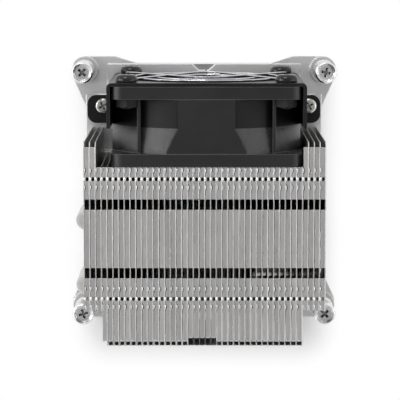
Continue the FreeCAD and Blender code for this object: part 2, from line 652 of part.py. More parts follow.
def fan_bracket():
    body = new_body("fan_bracket")
    (left, _, _), (right, _, _) = bracket_sides()
    plate = new_sketch(body, "front_plate", "XZ_Plane", "-(fan_front + bracket_sheet)")
    rectangle(plate, left, "leg_bottom", right, "leg_top")
    pad(body, plate, "bracket_sheet")
    legs = new_sketch(body, "bracket_legs", "XY_Plane", "leg_bottom")
    tongues = new_sketch(body, "leg_tongues", "XY_Plane", "deck_top")
    feet = new_sketch(body, "bracket_feet", "XY_Plane", "deck_top")
    for outer, inner, reach in bracket_sides():
        rectangle(legs, outer, "leg_back", inner, "fan_front + bracket_sheet")
        rectangle(tongues, outer, "foot_back", inner, "foot_front")
        rectangle(feet, reach, "foot_back", inner, "foot_front")
    pad(body, legs, "leg_top - leg_bottom")
    pad(body, tongues, "2 * (leg_bottom - deck_top)")
    pad(body, feet, "bracket_sheet")
    opening = new_sketch(body, "bracket_opening", "XZ_Plane", "-(fan_front - %s)" % OVERCUT)
    circle(opening, "fan_x", "fan_z", "bracket_opening")
    for x, z in mirrored_corners("fan_hole_half", "fan_hole_half"):
        circle(opening, "fan_x + (%s)" % x, "fan_z + (%s)" % z, "fan_hole_radius")
    pocket(body, opening, "bracket_sheet + 2 * " + OVERCUT)
    holes = new_sketch(body, "foot_holes", "XY_Plane", "foot_top")
    for sign in ("-", "+"):
        circle(holes, "fan_x %s foot_screw_x" % sign, "foot_screw_y",
               "foot_screw_radius + stem_gap")
    pocket(body, holes)
    reach, front = number("foot_reach"), number("fan_front + bracket_sheet")
    fillet(body, lambda edge: upright(edge) and all(
        abs(abs(end.Point.x) - reach) < 1e-6 for end in edge.Vertexes), "foot_corner")
    fillet(body, lambda edge: upright(edge) and all(
        abs(end.Point.y - front) < 1e-6 for end in edge.Vertexes), "bracket_bend")
    return body


def wire_guard():
    """Three rings, each welded on two bent legs that end in an eyelet at every corner."""
    radius = "guard_wire / 2"
    height = "guard_base + guard_wire + press_gap + guard_wire / 2"
    for order, label in enumerate(("guard_ring_inner", "guard_ring_middle", "guard_ring_outer")):
        body = fan_body(label)
        middle = "ring_small + %d * ring_step" % order
        wire = new_sketch(body, label + "_wire", "XZ_Plane")
        polygon(wire, [("%s + %s" % (middle, radius), height),
                       (middle, "%s + %s" % (height, radius)),
                       ("%s - %s" % (middle, radius), height),
                       (middle, "%s - %s" % (height, radius))])
        turned(body, wire)
    body = fan_body("guard_legs")
    eyelets = new_sketch(body, "eyelets", "XY_Plane", "guard_base")
    for x, y in mirrored_corners("fan_hole_half", "fan_hole_half"):
        circle(eyelets, x, y, "eyelet_radius - guard_wire / 2")
        circle(eyelets, x, y, "eyelet_radius + guard_wire / 2")
    pad(body, eyelets, "guard_wire")
    start = "(fan_hole_half - eyelet_radius * %s)" % DIAGONAL
    for name, sign in (("upper_leg", ""), ("lower_leg", "-")):
        leg = new_sketch(body, name, "XY_Plane", "guard_base")
        line = [("-" + start, start), ("-leg_turn_half", "-leg_turn"),
                ("leg_turn_half", "-leg_turn"), (start, start)]
        back = [(x, "%s - leg_width" % y) for x, y in line[::-1]]
        polygon(leg, [(x, "%s (%s)" % (sign, y)) for x, y in line + back])
        pad(body, leg, "guard_wire")


# ---------------------------------------------------------------- fasteners
def guard_screws():
    body = fan_body("guard_screws")
    shafts = new_sketch(body, "shafts", "XY_Plane", "flange_under - nut_height - guard_screw_end")
    heads = new_sketch(body, "heads", "XY_Plane", "head_seat")
    for x, y in mirrored_corners("fan_hole_half", "fan_hole_half"):
        circle(shafts, x, y, "guard_screw_radius")
        circle(heads, x, y, "guard_head_radius")
    pad(body, shafts, "head_seat - flange_under + nut_height + guard_screw_end")
    domed = pad(body, heads, "guard_head_height")
    domed.TaperAngle = -30
    return body


def guard_nuts():
    body = fan_body("guard_nuts")
    nuts = new_sketch(body, "nuts", "XY_Plane", "flange_under - nut_height")
    for x, y in mirrored_corners("fan_hole_half", "fan_hole_half"):
        polygon(nuts, [("%s + nut_flats / 2 * %r" % (x, round(along, 4)),
                        "%s + nut_flats / 2 * %r" % (y, round(across, 4)))
                       for along, across in hexagon_corners()])
        circle(nuts, x, y, "guard_screw_radius + press_gap")
    pad(body, nuts, "nut_height")
    return body


def hexagon_corners():
    """Corners of a hexagon whose flats lie at one unit each side of the middle in x."""
    corner = 1 / math.cos(math.pi / 6)
    return [(corner * math.cos(math.radians(30 + 60 * k)),
             corner * math.sin(math.radians(30 + 60 * k))) for k in range(6)]


def bracket_screws():
    body = new_body("bracket_screws")
    shafts = new_sketch(body, "foot_shafts", "XY_Plane", "foot_top")
    heads = new_sketch(body, "foot_heads", "XY_Plane", "foot_top")
    for sign in ("-", "+"):
        circle(shafts, "fan_x %s foot_screw_x" % sign, "foot_screw_y", "foot_screw_radius")
        circle(heads, "fan_x %s foot_screw_x" % sign, "foot_screw_y", "foot_head_radius")
    pad(body, heads, "foot_head_height")
    pad(body, shafts, "bracket_sheet + foot_screw_depth", reverse=True)
    return body


def captive_screw(number_in_row, x, y):
    """A screw with a cup-shaped head, the spring inside the cup, and the ring that keeps it."""
    screw = new_body("captive_screw_%d" % number_in_row, x, y)
    profile = new_sketch(screw, "screw_profile", "XZ_Plane")
    polygon(profile, [("0", "stem_tip"), ("thread_radius", "stem_tip"),
                      ("thread_radius", "clip_low - running_gap"),
                      ("groove_radius", "clip_low - running_gap"),
                      ("groove_radius", "clip_high + running_gap"),
                      ("stem_radius", "clip_high + running_gap"),
                      ("stem_radius", "cup_top - cup_roof"), ("cup_inside", "cup_top - cup_roof"),
                      ("cup_inside", "cup_bottom"), ("cup_radius", "cup_bottom"),
                      ("cup_radius", "cup_top"), ("0", "cup_top")])
    turned(screw, profile)
    spring = new_body("screw_spring_%d" % number_in_row, x, y)
    ring(spring, "coil", "stem_radius + spring_gap", "stem_radius + spring_gap + spring_wire",
         "boss_top", "cup_top - cup_roof")
    clip = new_body("screw_clip_%d" % number_in_row, x, y)
    ring(clip, "clip_ring", "groove_radius + running_gap", "clip_radius", "clip_low", "clip_high")
    mouth = new_sketch(clip, "clip_mouth", "XY_Plane", "foot_clearance")
    rectangle(mouth, "0", "-clip_slot / 2", "2 * clip_radius", "clip_slot / 2")
    pocket(clip, mouth)


for label, (order, side) in PIPES.items():
    heat_pipe(label, order, side)
fins()
base()
cold_plate()
motor_mount(fan_flange("fan_outlet", "0"))
fan_duct()
fan_flange("fan_inlet", "flange_under")
impeller()
motor()
fan_bracket()
wire_guard()
guard_screws()
guard_nuts()
bracket_screws()
corners = [("-", ""), ("", ""), ("-", "-"), ("", "-")]
for number_in_row, (sign_x, sign_y) in enumerate(corners, 1):
    captive_screw(number_in_row, sign_x + "screw_half", sign_y + "screw_half")
doc.recompute()

# Every feature must have built, and every piece must be sound, before anything is written.
failed = [thing.Label for thing in doc.Objects
          if "Invalid" in thing.State or "Error" in thing.State]
pieces = [thing for thing in doc.Objects if thing.TypeId == "PartDesign::Body"]
failed += [piece.Label for piece in pieces
           if piece.Shape.isNull() or not piece.Shape.isValid() or not piece.Shape.Solids]
if failed:
    raise RuntimeError("these did not build: " + ", ".join(failed))
os.makedirs("parts", exist_ok=True)
for piece in pieces:
    piece.Shape.exportStep("parts/%s.step" % piece.Label)
    print(piece.Label, len(piece.Shape.Solids))
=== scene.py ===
import math
import random

import bmesh
import bpy
from mathutils import Matrix, Vector


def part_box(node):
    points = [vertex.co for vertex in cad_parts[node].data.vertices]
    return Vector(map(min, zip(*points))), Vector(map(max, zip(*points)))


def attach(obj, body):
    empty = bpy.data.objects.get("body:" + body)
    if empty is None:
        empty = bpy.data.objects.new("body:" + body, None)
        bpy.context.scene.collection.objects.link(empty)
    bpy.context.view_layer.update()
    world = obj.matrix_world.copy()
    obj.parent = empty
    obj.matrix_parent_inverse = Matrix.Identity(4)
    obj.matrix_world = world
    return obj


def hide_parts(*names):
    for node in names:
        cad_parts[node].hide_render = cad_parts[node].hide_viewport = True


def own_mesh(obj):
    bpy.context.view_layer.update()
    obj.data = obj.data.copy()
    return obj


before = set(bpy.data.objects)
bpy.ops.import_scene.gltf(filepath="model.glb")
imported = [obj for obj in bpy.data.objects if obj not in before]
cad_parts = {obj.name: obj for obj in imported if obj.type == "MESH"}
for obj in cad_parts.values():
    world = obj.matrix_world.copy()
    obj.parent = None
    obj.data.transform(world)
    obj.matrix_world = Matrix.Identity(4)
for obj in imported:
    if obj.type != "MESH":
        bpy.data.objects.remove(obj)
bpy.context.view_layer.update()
bpy.context.scene.view_settings.view_transform = "Standard"

# ---------------------------------------- base casting
# A flat aluminium die casting with four screw ears. Its faces keep the fine grain of the
# mould, and its edges are painted a little lighter as a painted highlight. A thin web with
# milled chamfers closes the notch in the deck's edge; its floor is painted darker as painted
# shade and its chamfers near white as a painted highlight.


def new_material(name):
    """An empty procedural material, its node tree and its Principled shader."""
    material = bpy.data.materials.new(name)
    material.use_nodes = True
    tree = material.node_tree
    return material, tree, tree.nodes["Principled BSDF"]


def add_node(tree, kind, **settings):
    node = tree.nodes.new("ShaderNode" + kind)
    for name, value in settings.items():
        setattr(node, name, value)
    return node


def socket_values(node, **values):
    for name, value in values.items():
        node.inputs[name.replace("_", " ")].default_value = value


def new_group(name, inputs, outputs):
    """An empty shader node group with its named sockets, and its two end nodes."""
    group = bpy.data.node_groups.new(name, "ShaderNodeTree")
    for direction, sockets in (("INPUT", inputs), ("OUTPUT", outputs)):
        for socket, (kind, value) in sockets.items():
            made = group.interface.new_socket(socket, in_out=direction,
                                              socket_type="NodeSocket" + kind)
            if value is not None:
                made.default_value = value
    return group, group.nodes.new("NodeGroupInput"), group.nodes.new("NodeGroupOutput")


def finish_group():
    """Grain, patches and edges painted lighter (a painted highlight) on every surface of the
    cooler, each in its own amount.
    """
    group, given, result = new_group(
        "worked_surface",
        {"Colour": ("Color", (0.8, 0.8, 0.8, 1)), "Shade": ("Color", (0.6, 0.6, 0.6, 1)),
         "Roughness": ("Float", 0.4), "Roughness Spread": ("Float", 0.1),
         "Grain Scale": ("Float", 2600.0), "Grain Stretch": ("Vector", (1, 1, 1)),
         "Grain Depth": ("Float", 0.00001), "Patch Scale": ("Float", 90.0),
         "Patch Stretch": ("Vector", (1, 1, 1)),
         "Edge Radius": ("Float", 0.0001), "Edge Brightness": ("Float", 0.1)},
        {"Colour": ("Color", None), "Roughness": ("Float", None), "Normal": ("Vector", None)})
    link = group.links.new
    mix_first, mix_second, mixed = 6, 7, 2
    place = add_node(group, "TexCoord")
    stretch = add_node(group, "Mapping")
    link(place.outputs["Object"], stretch.inputs["Vector"])
    link(given.outputs["Grain Stretch"], stretch.inputs["Scale"])
    grain = add_node(group, "TexNoise")
    socket_values(grain, Detail=3.0, Roughness=0.6)
    link(stretch.outputs["Vector"], grain.inputs["Vector"])
    link(given.outputs["Grain Scale"], grain.inputs["Scale"])
    patches = add_node(group, "TexNoise")
    socket_values(patches, Detail=2.0, Roughness=0.5)
    spaced = add_node(group, "Mapping")
    link(place.outputs["Object"], spaced.inputs["Vector"])
    link(given.outputs["Patch Stretch"], spaced.inputs["Scale"])
    link(spaced.outputs["Vector"], patches.inputs["Vector"])
    link(given.outputs["Patch Scale"], patches.inputs["Scale"])
    both = add_node(group, "Math", operation="MULTIPLY")
    link(grain.outputs["Fac"], both.inputs[0])
    link(patches.outputs["Fac"], both.inputs[1])
    spread = add_node(group, "MapRange")
    socket_values(spread, From_Min=0.12, From_Max=0.4)
    link(both.outputs[0], spread.inputs["Value"])
    tint = add_node(group, "Mix", data_type="RGBA")
    link(spread.outputs["Result"], tint.inputs["Factor"])
    link(given.outputs["Shade"], tint.inputs[mix_first])
    link(given.outputs["Colour"], tint.inputs[mix_second])
    rounded = add_node(group, "Bevel", samples=4)
    link(given.outputs["Edge Radius"], rounded.inputs["Radius"])
    flat = add_node(group, "NewGeometry")
    turned = add_node(group, "VectorMath", operation="DOT_PRODUCT")
    link(rounded.outputs["Normal"], turned.inputs[0])
    link(flat.outputs["Normal"], turned.inputs[1])
    edge = add_node(group, "MapRange")
    socket_values(edge, From_Min=0.995, From_Max=0.8, To_Min=0.0, To_Max=1.0)
    link(turned.outputs["Value"], edge.inputs["Value"])
    # Where the Bevel normal turns away from the true normal, the colour is mixed towards white: a
    # painted highlight along every edge.
    edge_painted_highlight = add_node(group, "Math", operation="MULTIPLY")
    link(edge.outputs["Result"], edge_painted_highlight.inputs[0])
    link(given.outputs["Edge Brightness"], edge_painted_highlight.inputs[1])
    bright = add_node(group, "Mix", data_type="RGBA")
    bright.inputs[mix_second].default_value = (1, 1, 1, 1)
    link(edge_painted_highlight.outputs[0], bright.inputs["Factor"])
    link(tint.outputs[mixed], bright.inputs[mix_first])
    link(bright.outputs[mixed], result.inputs["Colour"])
    wander = add_node(group, "Math", operation="SUBTRACT")
    wander.inputs[1].default_value = 0.5
    link(spread.outputs["Result"], wander.inputs[0])
    rough = add_node(group, "Math", operation="MULTIPLY_ADD")
    link(wander.outputs[0], rough.inputs[0])
    link(given.outputs["Roughness Spread"], rough.inputs[1])
    link(given.outputs["Roughness"], rough.inputs[2])
    link(rough.outputs[0], result.inputs["Roughness"])
    bump = add_node(group, "Bump")
    link(grain.outputs["Fac"], bump.inputs["Height"])
    link(given.outputs["Grain Depth"], bump.inputs["Distance"])
    link(rounded.outputs["Normal"], bump.inputs["Normal"])
    link(bump.outputs["Normal"], result.inputs["Normal"])
    return group


worked_surface = finish_group()


def finish(name, colour, metallic, shade=0.75, specular=0.5, **values):
    """A material on the shared surface group; shade is how far its patches go down."""
    material, tree, shader = new_material(name)
    surface = add_node(tree, "Group", node_tree=worked_surface)
    surface.inputs["Colour"].default_value = (*colour, 1)
    surface.inputs["Shade"].default_value = (*[part * shade for part in colour], 1)
    socket_values(surface, **values)
    socket_values(shader, Metallic=metallic, Specular_IOR_Level=specular)
    tree.links.new(surface.outputs["Colour"], shader.inputs["Base Color"])
    tree.links.new(surface.outputs["Roughness"], shader.inputs["Roughness"])
    tree.links.new(surface.outputs["Normal"], shader.inputs["Normal"])
    return material


def dress(node, material):
    """Give a carried-over node its finish."""
    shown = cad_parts[node]
    shown.data.materials.clear()
    shown.data.materials.append(material)


MM, CREASE = 0.001, math.radians(32)


def add_solid(name, shape, materials, slot, body, *nodes):
    """Make a piece that rides on a body from a mesh worked out in millimetres."""
    shape.transform(Matrix.Scale(MM, 4))
    bmesh.ops.recalc_face_normals(shape, faces=shape.faces)
    mesh = bpy.data.meshes.new(name)
    shape.to_mesh(mesh)
    shape.free()
    mesh.shade_smooth()
    mesh.set_sharp_from_angle(angle=CREASE)
    for material in materials:
        mesh.materials.append(material)
    made = bpy.data.objects.new(name, mesh)
    bpy.context.scene.collection.objects.link(made)
    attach(made, body)
    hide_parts(*nodes)
    return made


WEB_LOW, WEB_RIM, WEB_FLOOR, WEB_CHAMFER = 2.0, 3.98, 3.2, 0.42
MOUTH_Y, MOUTH_HALF, BACK_Y, BACK_HALF = 41.75, 4.1, 39.6, 1.75


def notch_web():
    """A closed web: its floor in a darker copy of the casting (painted shade), its chamfer on
    three sides in near white (a painted highlight), and the casting's skin.
    """
    shape = bmesh.new()
    rings = []
    for z, inset in ((WEB_LOW, 0.0), (WEB_RIM, 0.0), (WEB_FLOOR, WEB_CHAMFER)):
        mouth, back, y = MOUTH_HALF - inset, BACK_HALF - inset / 2, BACK_Y + inset / 2
        outline = ((-mouth, MOUTH_Y), (-back, y), (back, y), (mouth, MOUTH_Y))
        rings.append([shape.verts.new((*corner, z)) for corner in outline])
    bottom, rim, floor = rings
    for side in range(3):
        shape.faces.new((bottom[side], bottom[side + 1], rim[side + 1], rim[side]))
        chamfer = shape.faces.new((rim[side], rim[side + 1], floor[side + 1], floor[side]))
        chamfer.material_index = 1
    shape.faces.new(floor)
    for corners in (bottom, (bottom[0], bottom[3], rim[3], floor[3], floor[0], rim[0])):
        shape.faces.new(corners).material_index = 2
    return shape


cast_aluminium = finish("cast_aluminium", (0.79, 0.785, 0.775), 0.6, shade=0.88, Roughness=0.33,
                        Roughness_Spread=0.12, Grain_Scale=5200.0, Grain_Depth=0.000012,
                        Patch_Scale=45.0, Edge_Radius=0.0004, Edge_Brightness=0.75)
dress("base", cast_aluminium)
# The notch's floor is a darker copy of the cast aluminium: painted shade where the pocket lies
# low.
notch_floor_painted_shade = finish("notch_floor_painted_shade", (0.42, 0.415, 0.41), 0.6, shade=0.88, Grain_Scale=5200.0,
                     Grain_Depth=0.000012, Patch_Scale=45.0, Edge_Brightness=0.0)
# The chamfers are a near-white, non-metal copy of the casting: a painted highlight where they
# catch the light.
chamfer_painted_highlight = finish("chamfer_painted_highlight", (0.97, 0.965, 0.96), 0.0, shade=0.95, Roughness=0.3,
                     Grain_Scale=5200.0, Grain_Depth=0.000005, Patch_Scale=45.0,
                     Edge_Brightness=0.0)
add_solid("notch_web", notch_web(), [notch_floor_painted_shade, chamfer_painted_highlight, cast_aluminium],
          "cast_aluminium", "heatsink")

# ---------------------------------------- cold plate
# A copper plate soldered under the casting. Its contact face is milled, which leaves fine
# lines all one way.
copper = finish("milled_copper", (0.79, 0.46, 0.31), 1.0, Roughness=0.24,
                Grain_Stretch=(1.0, 0.03, 1.0), Grain_Depth=0.000008, Patch_Scale=30.0,
                Edge_Radius=0.00015, Edge_Brightness=0.25)
dress("cold_plate", copper)

# ---------------------------------------- heat pipes
# Four nickel-plated copper tubes bent into a U. The lower leg lies in the casting, the
# upper one carries the fins, and both ends are spun shut to a blunt nose.


def join_rings(shape, low, high, look=0):
    """Faces between two rings of points; a ring of one point closes to a tip."""
    count = max(len(low), len(high))
    for k in range(count):
        corners = [low[k % len(low)], low[(k + 1) % len(low)],
                   high[(k + 1) % len(high)], high[k % len(high)]]
        corners = [c for n, c in enumerate(corners) if c is not corners[n - 1]]
        if len(corners) > 2:
            shape.faces.new(corners).material_index = look


def round_wire(shape, path, radii, sides, closed=False):
    """A round tube along a path, its frame turned as little as it can be."""
    count = len(path)
    side = (path[1] - path[0]).orthogonal().normalized()
    rings = []
    for k, point in enumerate(path):
        before = path[k - 1] if k or closed else point
        after = path[(k + 1) % count] if k < count - 1 or closed else point
        along = (after - before).normalized()
        side = (side - along * side.dot(along)).normalized()
        up = along.cross(side)
        radius = radii[k] if isinstance(radii, list) else radii
        turns = [math.tau * step / sides for step in range(sides)]
        rings.append([shape.verts.new(point + (side * math.cos(t) + up * math.sin(t)) * radius)
                      for t in turns])
    for low, high in zip(rings, rings[1:]):
        join_rings(shape, low, high)
    if closed:
        join_rings(shape, rings[-1], rings[0])
    else:
        shape.faces.new(rings[0][::-1])
        shape.faces.new(rings[-1])


def rounded_path(corners, radius, steps):
    """The points of a path of straight runs whose corners are bent to a radius."""
    path = [corners[0]]
    for before, corner, after in zip(corners, corners[1:], corners[2:]):
        back, on = (before - corner).normalized(), (after - corner).normalized()
        half = back.angle(on) / 2
        middle = corner + (back + on).normalized() * (radius / math.sin(half))
        start = corner + back * (radius / math.tan(half)) - middle
        end = corner + on * (radius / math.tan(half)) - middle
        for step in range(steps + 1):
            path.append(middle + start.slerp(end, step / steps).normalized() * radius)
    return path + [corners[-1]]


nickel = finish("nickel_plating", (0.5, 0.49, 0.47), 1.0, Roughness=0.24, Roughness_Spread=0.12,
                Grain_Scale=3000.0, Grain_Stretch=(0.08, 1.0, 0.08), Grain_Depth=0.000003,
                Patch_Scale=80.0, Edge_Radius=0.0002, Edge_Brightness=0.0)
PIPE_RADIUS, PIPE_BEND, PIPE_LOW, PIPE_HIGH = 3.0, 9.0, 5.05, 46.0
LOWER_END, UPPER_END = 33.0, 14.0
PIPE_SIDES, BEND_STEPS = 32, 14
PIPES = {1: (-7.0, -38.495), 2: (-14.0, 35.995), 3: (-21.0, 35.995), 4: (-28.0, -38.495)}
NOSE = ((0.0, 0.35), (0.25, 0.62), (0.7, 0.84), (1.4, 0.97), (2.2, 1.0))


def heat_pipe(y, upright):
    """One U: along the casting, up outside the fins at upright, and back through them."""
    side = math.copysign(1, upright)
    corners = [Vector((-side * LOWER_END, y, PIPE_LOW)), Vector((upright, y, PIPE_LOW)),
               Vector((upright, y, PIPE_HIGH)), Vector((side * UPPER_END, y, PIPE_HIGH))]
    bent = rounded_path(corners, PIPE_BEND, BEND_STEPS)
    path, radii = [], []
    for end, towards in ((bent[0], bent[1]), (bent[-1], bent[-2])):
        along = (towards - end).normalized()
        path.append([end + along * far for far, part in NOSE])
        radii.append([PIPE_RADIUS * part for far, part in NOSE])
    points = path[0] + bent[1:-1] + path[1][::-1]
    widths = radii[0] + [PIPE_RADIUS] * (len(bent) - 2) + radii[1][::-1]
    shape = bmesh.new()
    round_wire(shape, points, widths, PIPE_SIDES)
    return shape


for number, (pipe_y, upright) in PIPES.items():
    add_solid("copper_pipe_%d" % number, heat_pipe(pipe_y, upright), [nickel], "nickel",
              "heatsink", "heat_pipe_%d" % number)

# ---------------------------------------- fin stack
# Forty-three fins of rolled aluminium sheet. Each is folded over along its top edge, and the
# folds hook into each other with pressed tabs beside small pierced holes.
FIN_PITCH, FIN_SHEET, FIN_COUNT = 1.795, 0.3, 43
FIRST_FIN = -(FIN_COUNT - 1) * FIN_PITCH / 2
FOLD_TOP, BEND, FOLD_GAP, TAB_TOP = 63.86, 0.31, 0.12, 64.0
FIN_LOW, FRONT_LOW, FRONT_HIGH = 10.0, 4.0, 62.5
FIN_FRONT, FOLD_FRONT, BAY_REAR, SIDE_REAR = 20.5, 19.0, 12.7, -32.5
TAIL_REAR, TAIL_FOLD, NOTCH_REAR, NOTCH_FLOOR = -43.6, -41.9, -40.8, 14.0
SLOTS = ((-22.2, -18.9), (-0.6, 2.7))
HOLE_ROWS, HOLE_INSET, HOLE_ACROSS, HOLE_ALONG = (9.0, -28.7), 0.62, 0.52, 0.68
TAB_ROWS, TAB_ACROSS, TAB_ALONG, TAB_MARGIN = (11.7, 6.3, -25.6, -31.3), 0.46, 0.98, 0.9
TAB_DOME, HOLE_DOME = (0.04, 0.2, 0.84), (-0.14, 0.38, 0.66)
LIP_RADIUS, LIP_DROP, LIP_SHEET = 0.4, 1.0, 0.25
HEM_DROP, HEM_LOW, HEM_PLAY = 0.6, 54.0, 0.04
PIPE_PLAY, END_PLAY, LEAST_NOTCH = 0.06, 0.1, 0.3
MOST_LEAN = 0.05
SIDE_FINS, NOTCH_FINS, BAY_FINS = 4, range(19, 24), range(3, 39)


def cut_sheet(shape, outline, holes, place, thickness):
    """A flat sheet with holes: its outlines lie in the place's own xy plane."""
    edges = []
    for loop in [outline] + holes:
        corners = [shape.verts.new(place @ Vector((x, y, 0))) for x, y in loop]
        edges += [shape.edges.new(pair) for pair in zip(corners, corners[1:] + corners[:1])]
    filled = bmesh.ops.triangle_fill(shape, use_beauty=True, edges=edges)["geom"]
    faces = [part for part in filled if isinstance(part, bmesh.types.BMFace)]
    grown = bmesh.ops.extrude_face_region(shape, geom=faces)["geom"]
    moved = [part for part in grown if isinstance(part, bmesh.types.BMVert)]
    along = (place.to_3x3() @ Vector((0, 0, 1))).normalized() * thickness
    bmesh.ops.translate(shape, verts=moved, vec=along)


def arc(x, y, across, along, start=0.0, turn=360.0, steps=16):
    """Points of an ellipse or part of one, its start and turn in degrees."""
    last = steps if abs(turn) >= 360 else steps - 1
    turns = [math.radians(start + turn * k / last) for k in range(steps)]
    return [(x + across * math.cos(t), y + along * math.sin(t)) for t in turns]


def upright_plane(x):
    """A plane across the stack: its own x runs along Y and its own y along Z."""
    return Matrix(((0, 0, 1, x), (1, 0, 0, 0), (0, 1, 0, 0), (0, 0, 0, 1)))


def pipe_cuts(x):
    """Where the pipes cross a fin at x: closed holes, and notches from its lower edge."""
    holes, notches = [], []
    for y, upright in PIPES.values():
        side = math.copysign(1, upright)
        out = side * (x + FIN_SHEET / 2) - (abs(upright) - PIPE_BEND)
        half = PIPE_RADIUS + PIPE_PLAY
        near, far = PIPE_BEND - half, PIPE_BEND + half
        if side * x < UPPER_END - END_PLAY - FIN_SHEET:
            continue
        centre = PIPE_HIGH - PIPE_BEND
        if out <= 0:
            holes.append(arc(y, PIPE_HIGH, half, half, steps=24))
        elif out < near:
            high, foot = math.sqrt(far ** 2 - out ** 2), math.sqrt(near ** 2 - out ** 2)
            holes.append(arc(y, centre + (high + foot) / 2, half, (high - foot) / 2, steps=24))
            lower = PIPE_LOW + PIPE_BEND - foot
            if lower > FIN_LOW + LEAST_NOTCH:
                notches.append((y, half, lower))
        else:
            notches.append((y, half, centre + math.sqrt(far ** 2 - out ** 2)))
    return holes, sorted(notches)


def fin_outline(x, rear, front, folds):
    """The outline of a fin's upright sheet, cut down between its folds, and its holes."""
    holes, notches = pipe_cuts(x)
    points = [(rear, FIN_LOW)]
    for y, half, high in notches:
        rise = min(half, high - FIN_LOW)
        straight = high - rise > FIN_LOW
        points += [(y - half, FIN_LOW)] if straight else []
        points += arc(y, high - rise, half, rise, 180, -180, 14)
        points += [(y + half, FIN_LOW)] if straight else []
    if front > BAY_REAR:
        points += [(BAY_REAR, FIN_LOW), (BAY_REAR, FRONT_LOW), (front, FRONT_LOW)]
        points += [(front, FRONT_HIGH), (FOLD_FRONT, FOLD_TOP)]
    else:
        points += [(front, FIN_LOW), (front, FOLD_TOP)]
    neck = FOLD_TOP - BEND
    for start, end in folds[::-1]:
        points += [(end, FOLD_TOP), (end, neck), (start, neck), (start, FOLD_TOP)]
    points += [(rear, FOLD_TOP)]
    if rear == NOTCH_REAR:
        points[0] = (TAIL_REAR, FIN_LOW)
        points += [(rear, NOTCH_FLOOR), (TAIL_REAR, NOTCH_FLOOR)]
    kept = [p for k, p in enumerate(points) if (Vector(p) - Vector(points[k - 1])).length > 1e-4]
    return kept, holes


def small_dome(shape, x, y, across, along):
    """A pressed tab: a low rounded bump on a closed foot, in the lighter second material (a
    painted highlight).
    """
    low, rings = FOLD_TOP - FIN_SHEET, []
    for lean in (0, 30, 60, 90):
        part = math.cos(math.radians(lean))
        height = low + (TAB_TOP - low) * math.sin(math.radians(lean))
        ring = arc(x, y, across * part, along * part, steps=12) if part > 0.01 else [(x, y)]
        rings.append([shape.verts.new((px, py, height)) for px, py in ring])
    for under, over in zip(rings, rings[1:]):
        join_rings(shape, under, over, 1)
    shape.faces.new(rings[0][::-1])


def folded_top(shape, x, start, end, lean):
    """One run of a fin's fold: the round bend, the flat flange and what is pressed into it."""
    bend_x, free_x = x + FIN_SHEET - BEND, x + FIN_SHEET - FIN_PITCH + FOLD_GAP
    middle = FOLD_TOP - BEND
    profile = arc(bend_x, middle, BEND, BEND, 0, 90, 7)
    profile += arc(bend_x, middle, BEND - FIN_SHEET, BEND - FIN_SHEET, 90, -90, 4)
    across = Matrix(((1, 0, 0, 0), (0, 0, 1, start), (0, 1, 0, 0), (0, 0, 0, 1)))
    cut_sheet(shape, profile, [], across, end - start)
    tabs = [y for y in TAB_ROWS if start + TAB_MARGIN < y < end - TAB_MARGIN]
    holes = [y for y in HOLE_ROWS if start < y < end]
    flat = [(bend_x, start), (bend_x, end), (free_x, end)]
    for y in tabs:
        flat += arc(free_x, y, TAB_ACROSS, TAB_ALONG, 90, -180, 9)
    flat += [(free_x, start)]
    pierced = [arc(x - HOLE_INSET, y, HOLE_ACROSS, HOLE_ALONG, steps=14) for y in holes]
    before = set(shape.verts)
    cut_sheet(shape, flat, pierced, Matrix.Translation((0, 0, FOLD_TOP - FIN_SHEET)), FIN_SHEET)
    for corner in set(shape.verts) - before:
        corner.co.z -= lean * (bend_x - corner.co.x) / (bend_x - free_x)
    for (shift, wide, long), rows in ((TAB_DOME, tabs), (HOLE_DOME, holes)):
        for y in rows:
            small_dome(shape, free_x + shift, y, wide, long)


def tail_lip(shape, x, y):
    """The short lip that closes a fold's rear end."""
    back, foot = y - LIP_RADIUS, FOLD_TOP - LIP_DROP
    section = arc(y, FOLD_TOP - LIP_RADIUS, LIP_RADIUS, LIP_RADIUS, 90, 90, 6)
    section += [(back, foot), (back + LIP_SHEET, foot), (y, FOLD_TOP - FIN_SHEET)]
    width = FIN_PITCH - FIN_SHEET - FOLD_GAP
    cut_sheet(shape, section, [], upright_plane(x - width), width)


def tail_hem(shape, x, low, width):
    """A hem bent across the rear edge, just under the open end of the channel."""
    inner, high = TAIL_REAR + FIN_SHEET / 2, FOLD_TOP - HEM_DROP
    section = [(TAIL_REAR, high), (TAIL_REAR, low), (inner, low), (inner, high)]
    cut_sheet(shape, section, [], upright_plane(x - width), width)


def add_fin(shape, number, chance):
    """One fin with its folds, and at the tail its lip and hem."""
    x = FIRST_FIN + number * FIN_PITCH
    at_side = number < SIDE_FINS or number >= FIN_COUNT - SIDE_FINS
    if at_side:
        rear, fold_rear = SIDE_REAR, SIDE_REAR
    elif number in NOTCH_FINS:
        rear, fold_rear = NOTCH_REAR, NOTCH_REAR
    else:
        rear, fold_rear = TAIL_REAR, TAIL_FOLD
    front = BAY_REAR if number in BAY_FINS else FIN_FRONT
    stops = [fold_rear] + [end for slot in SLOTS for end in slot] + [min(front, FOLD_FRONT)]
    folds = list(zip(stops[0::2], stops[1::2])) if number else []
    outline, holes = fin_outline(x, rear, front, folds)
    cut_sheet(shape, outline, holes, upright_plane(x), FIN_SHEET)
    lean = chance.uniform(0.0, MOST_LEAN)
    for start, end in folds:
        folded_top(shape, x, start, end, lean)
    if not at_side:
        tail_lip(shape, x, fold_rear)
    if SIDE_FINS < number < FIN_COUNT - SIDE_FINS:
        if number in NOTCH_FINS:
            tail_hem(shape, x + FIN_SHEET, NOTCH_FLOOR, FIN_PITCH - HEM_PLAY)
        else:
            tail_hem(shape, x, HEM_LOW, FIN_PITCH - FIN_SHEET - FOLD_GAP)
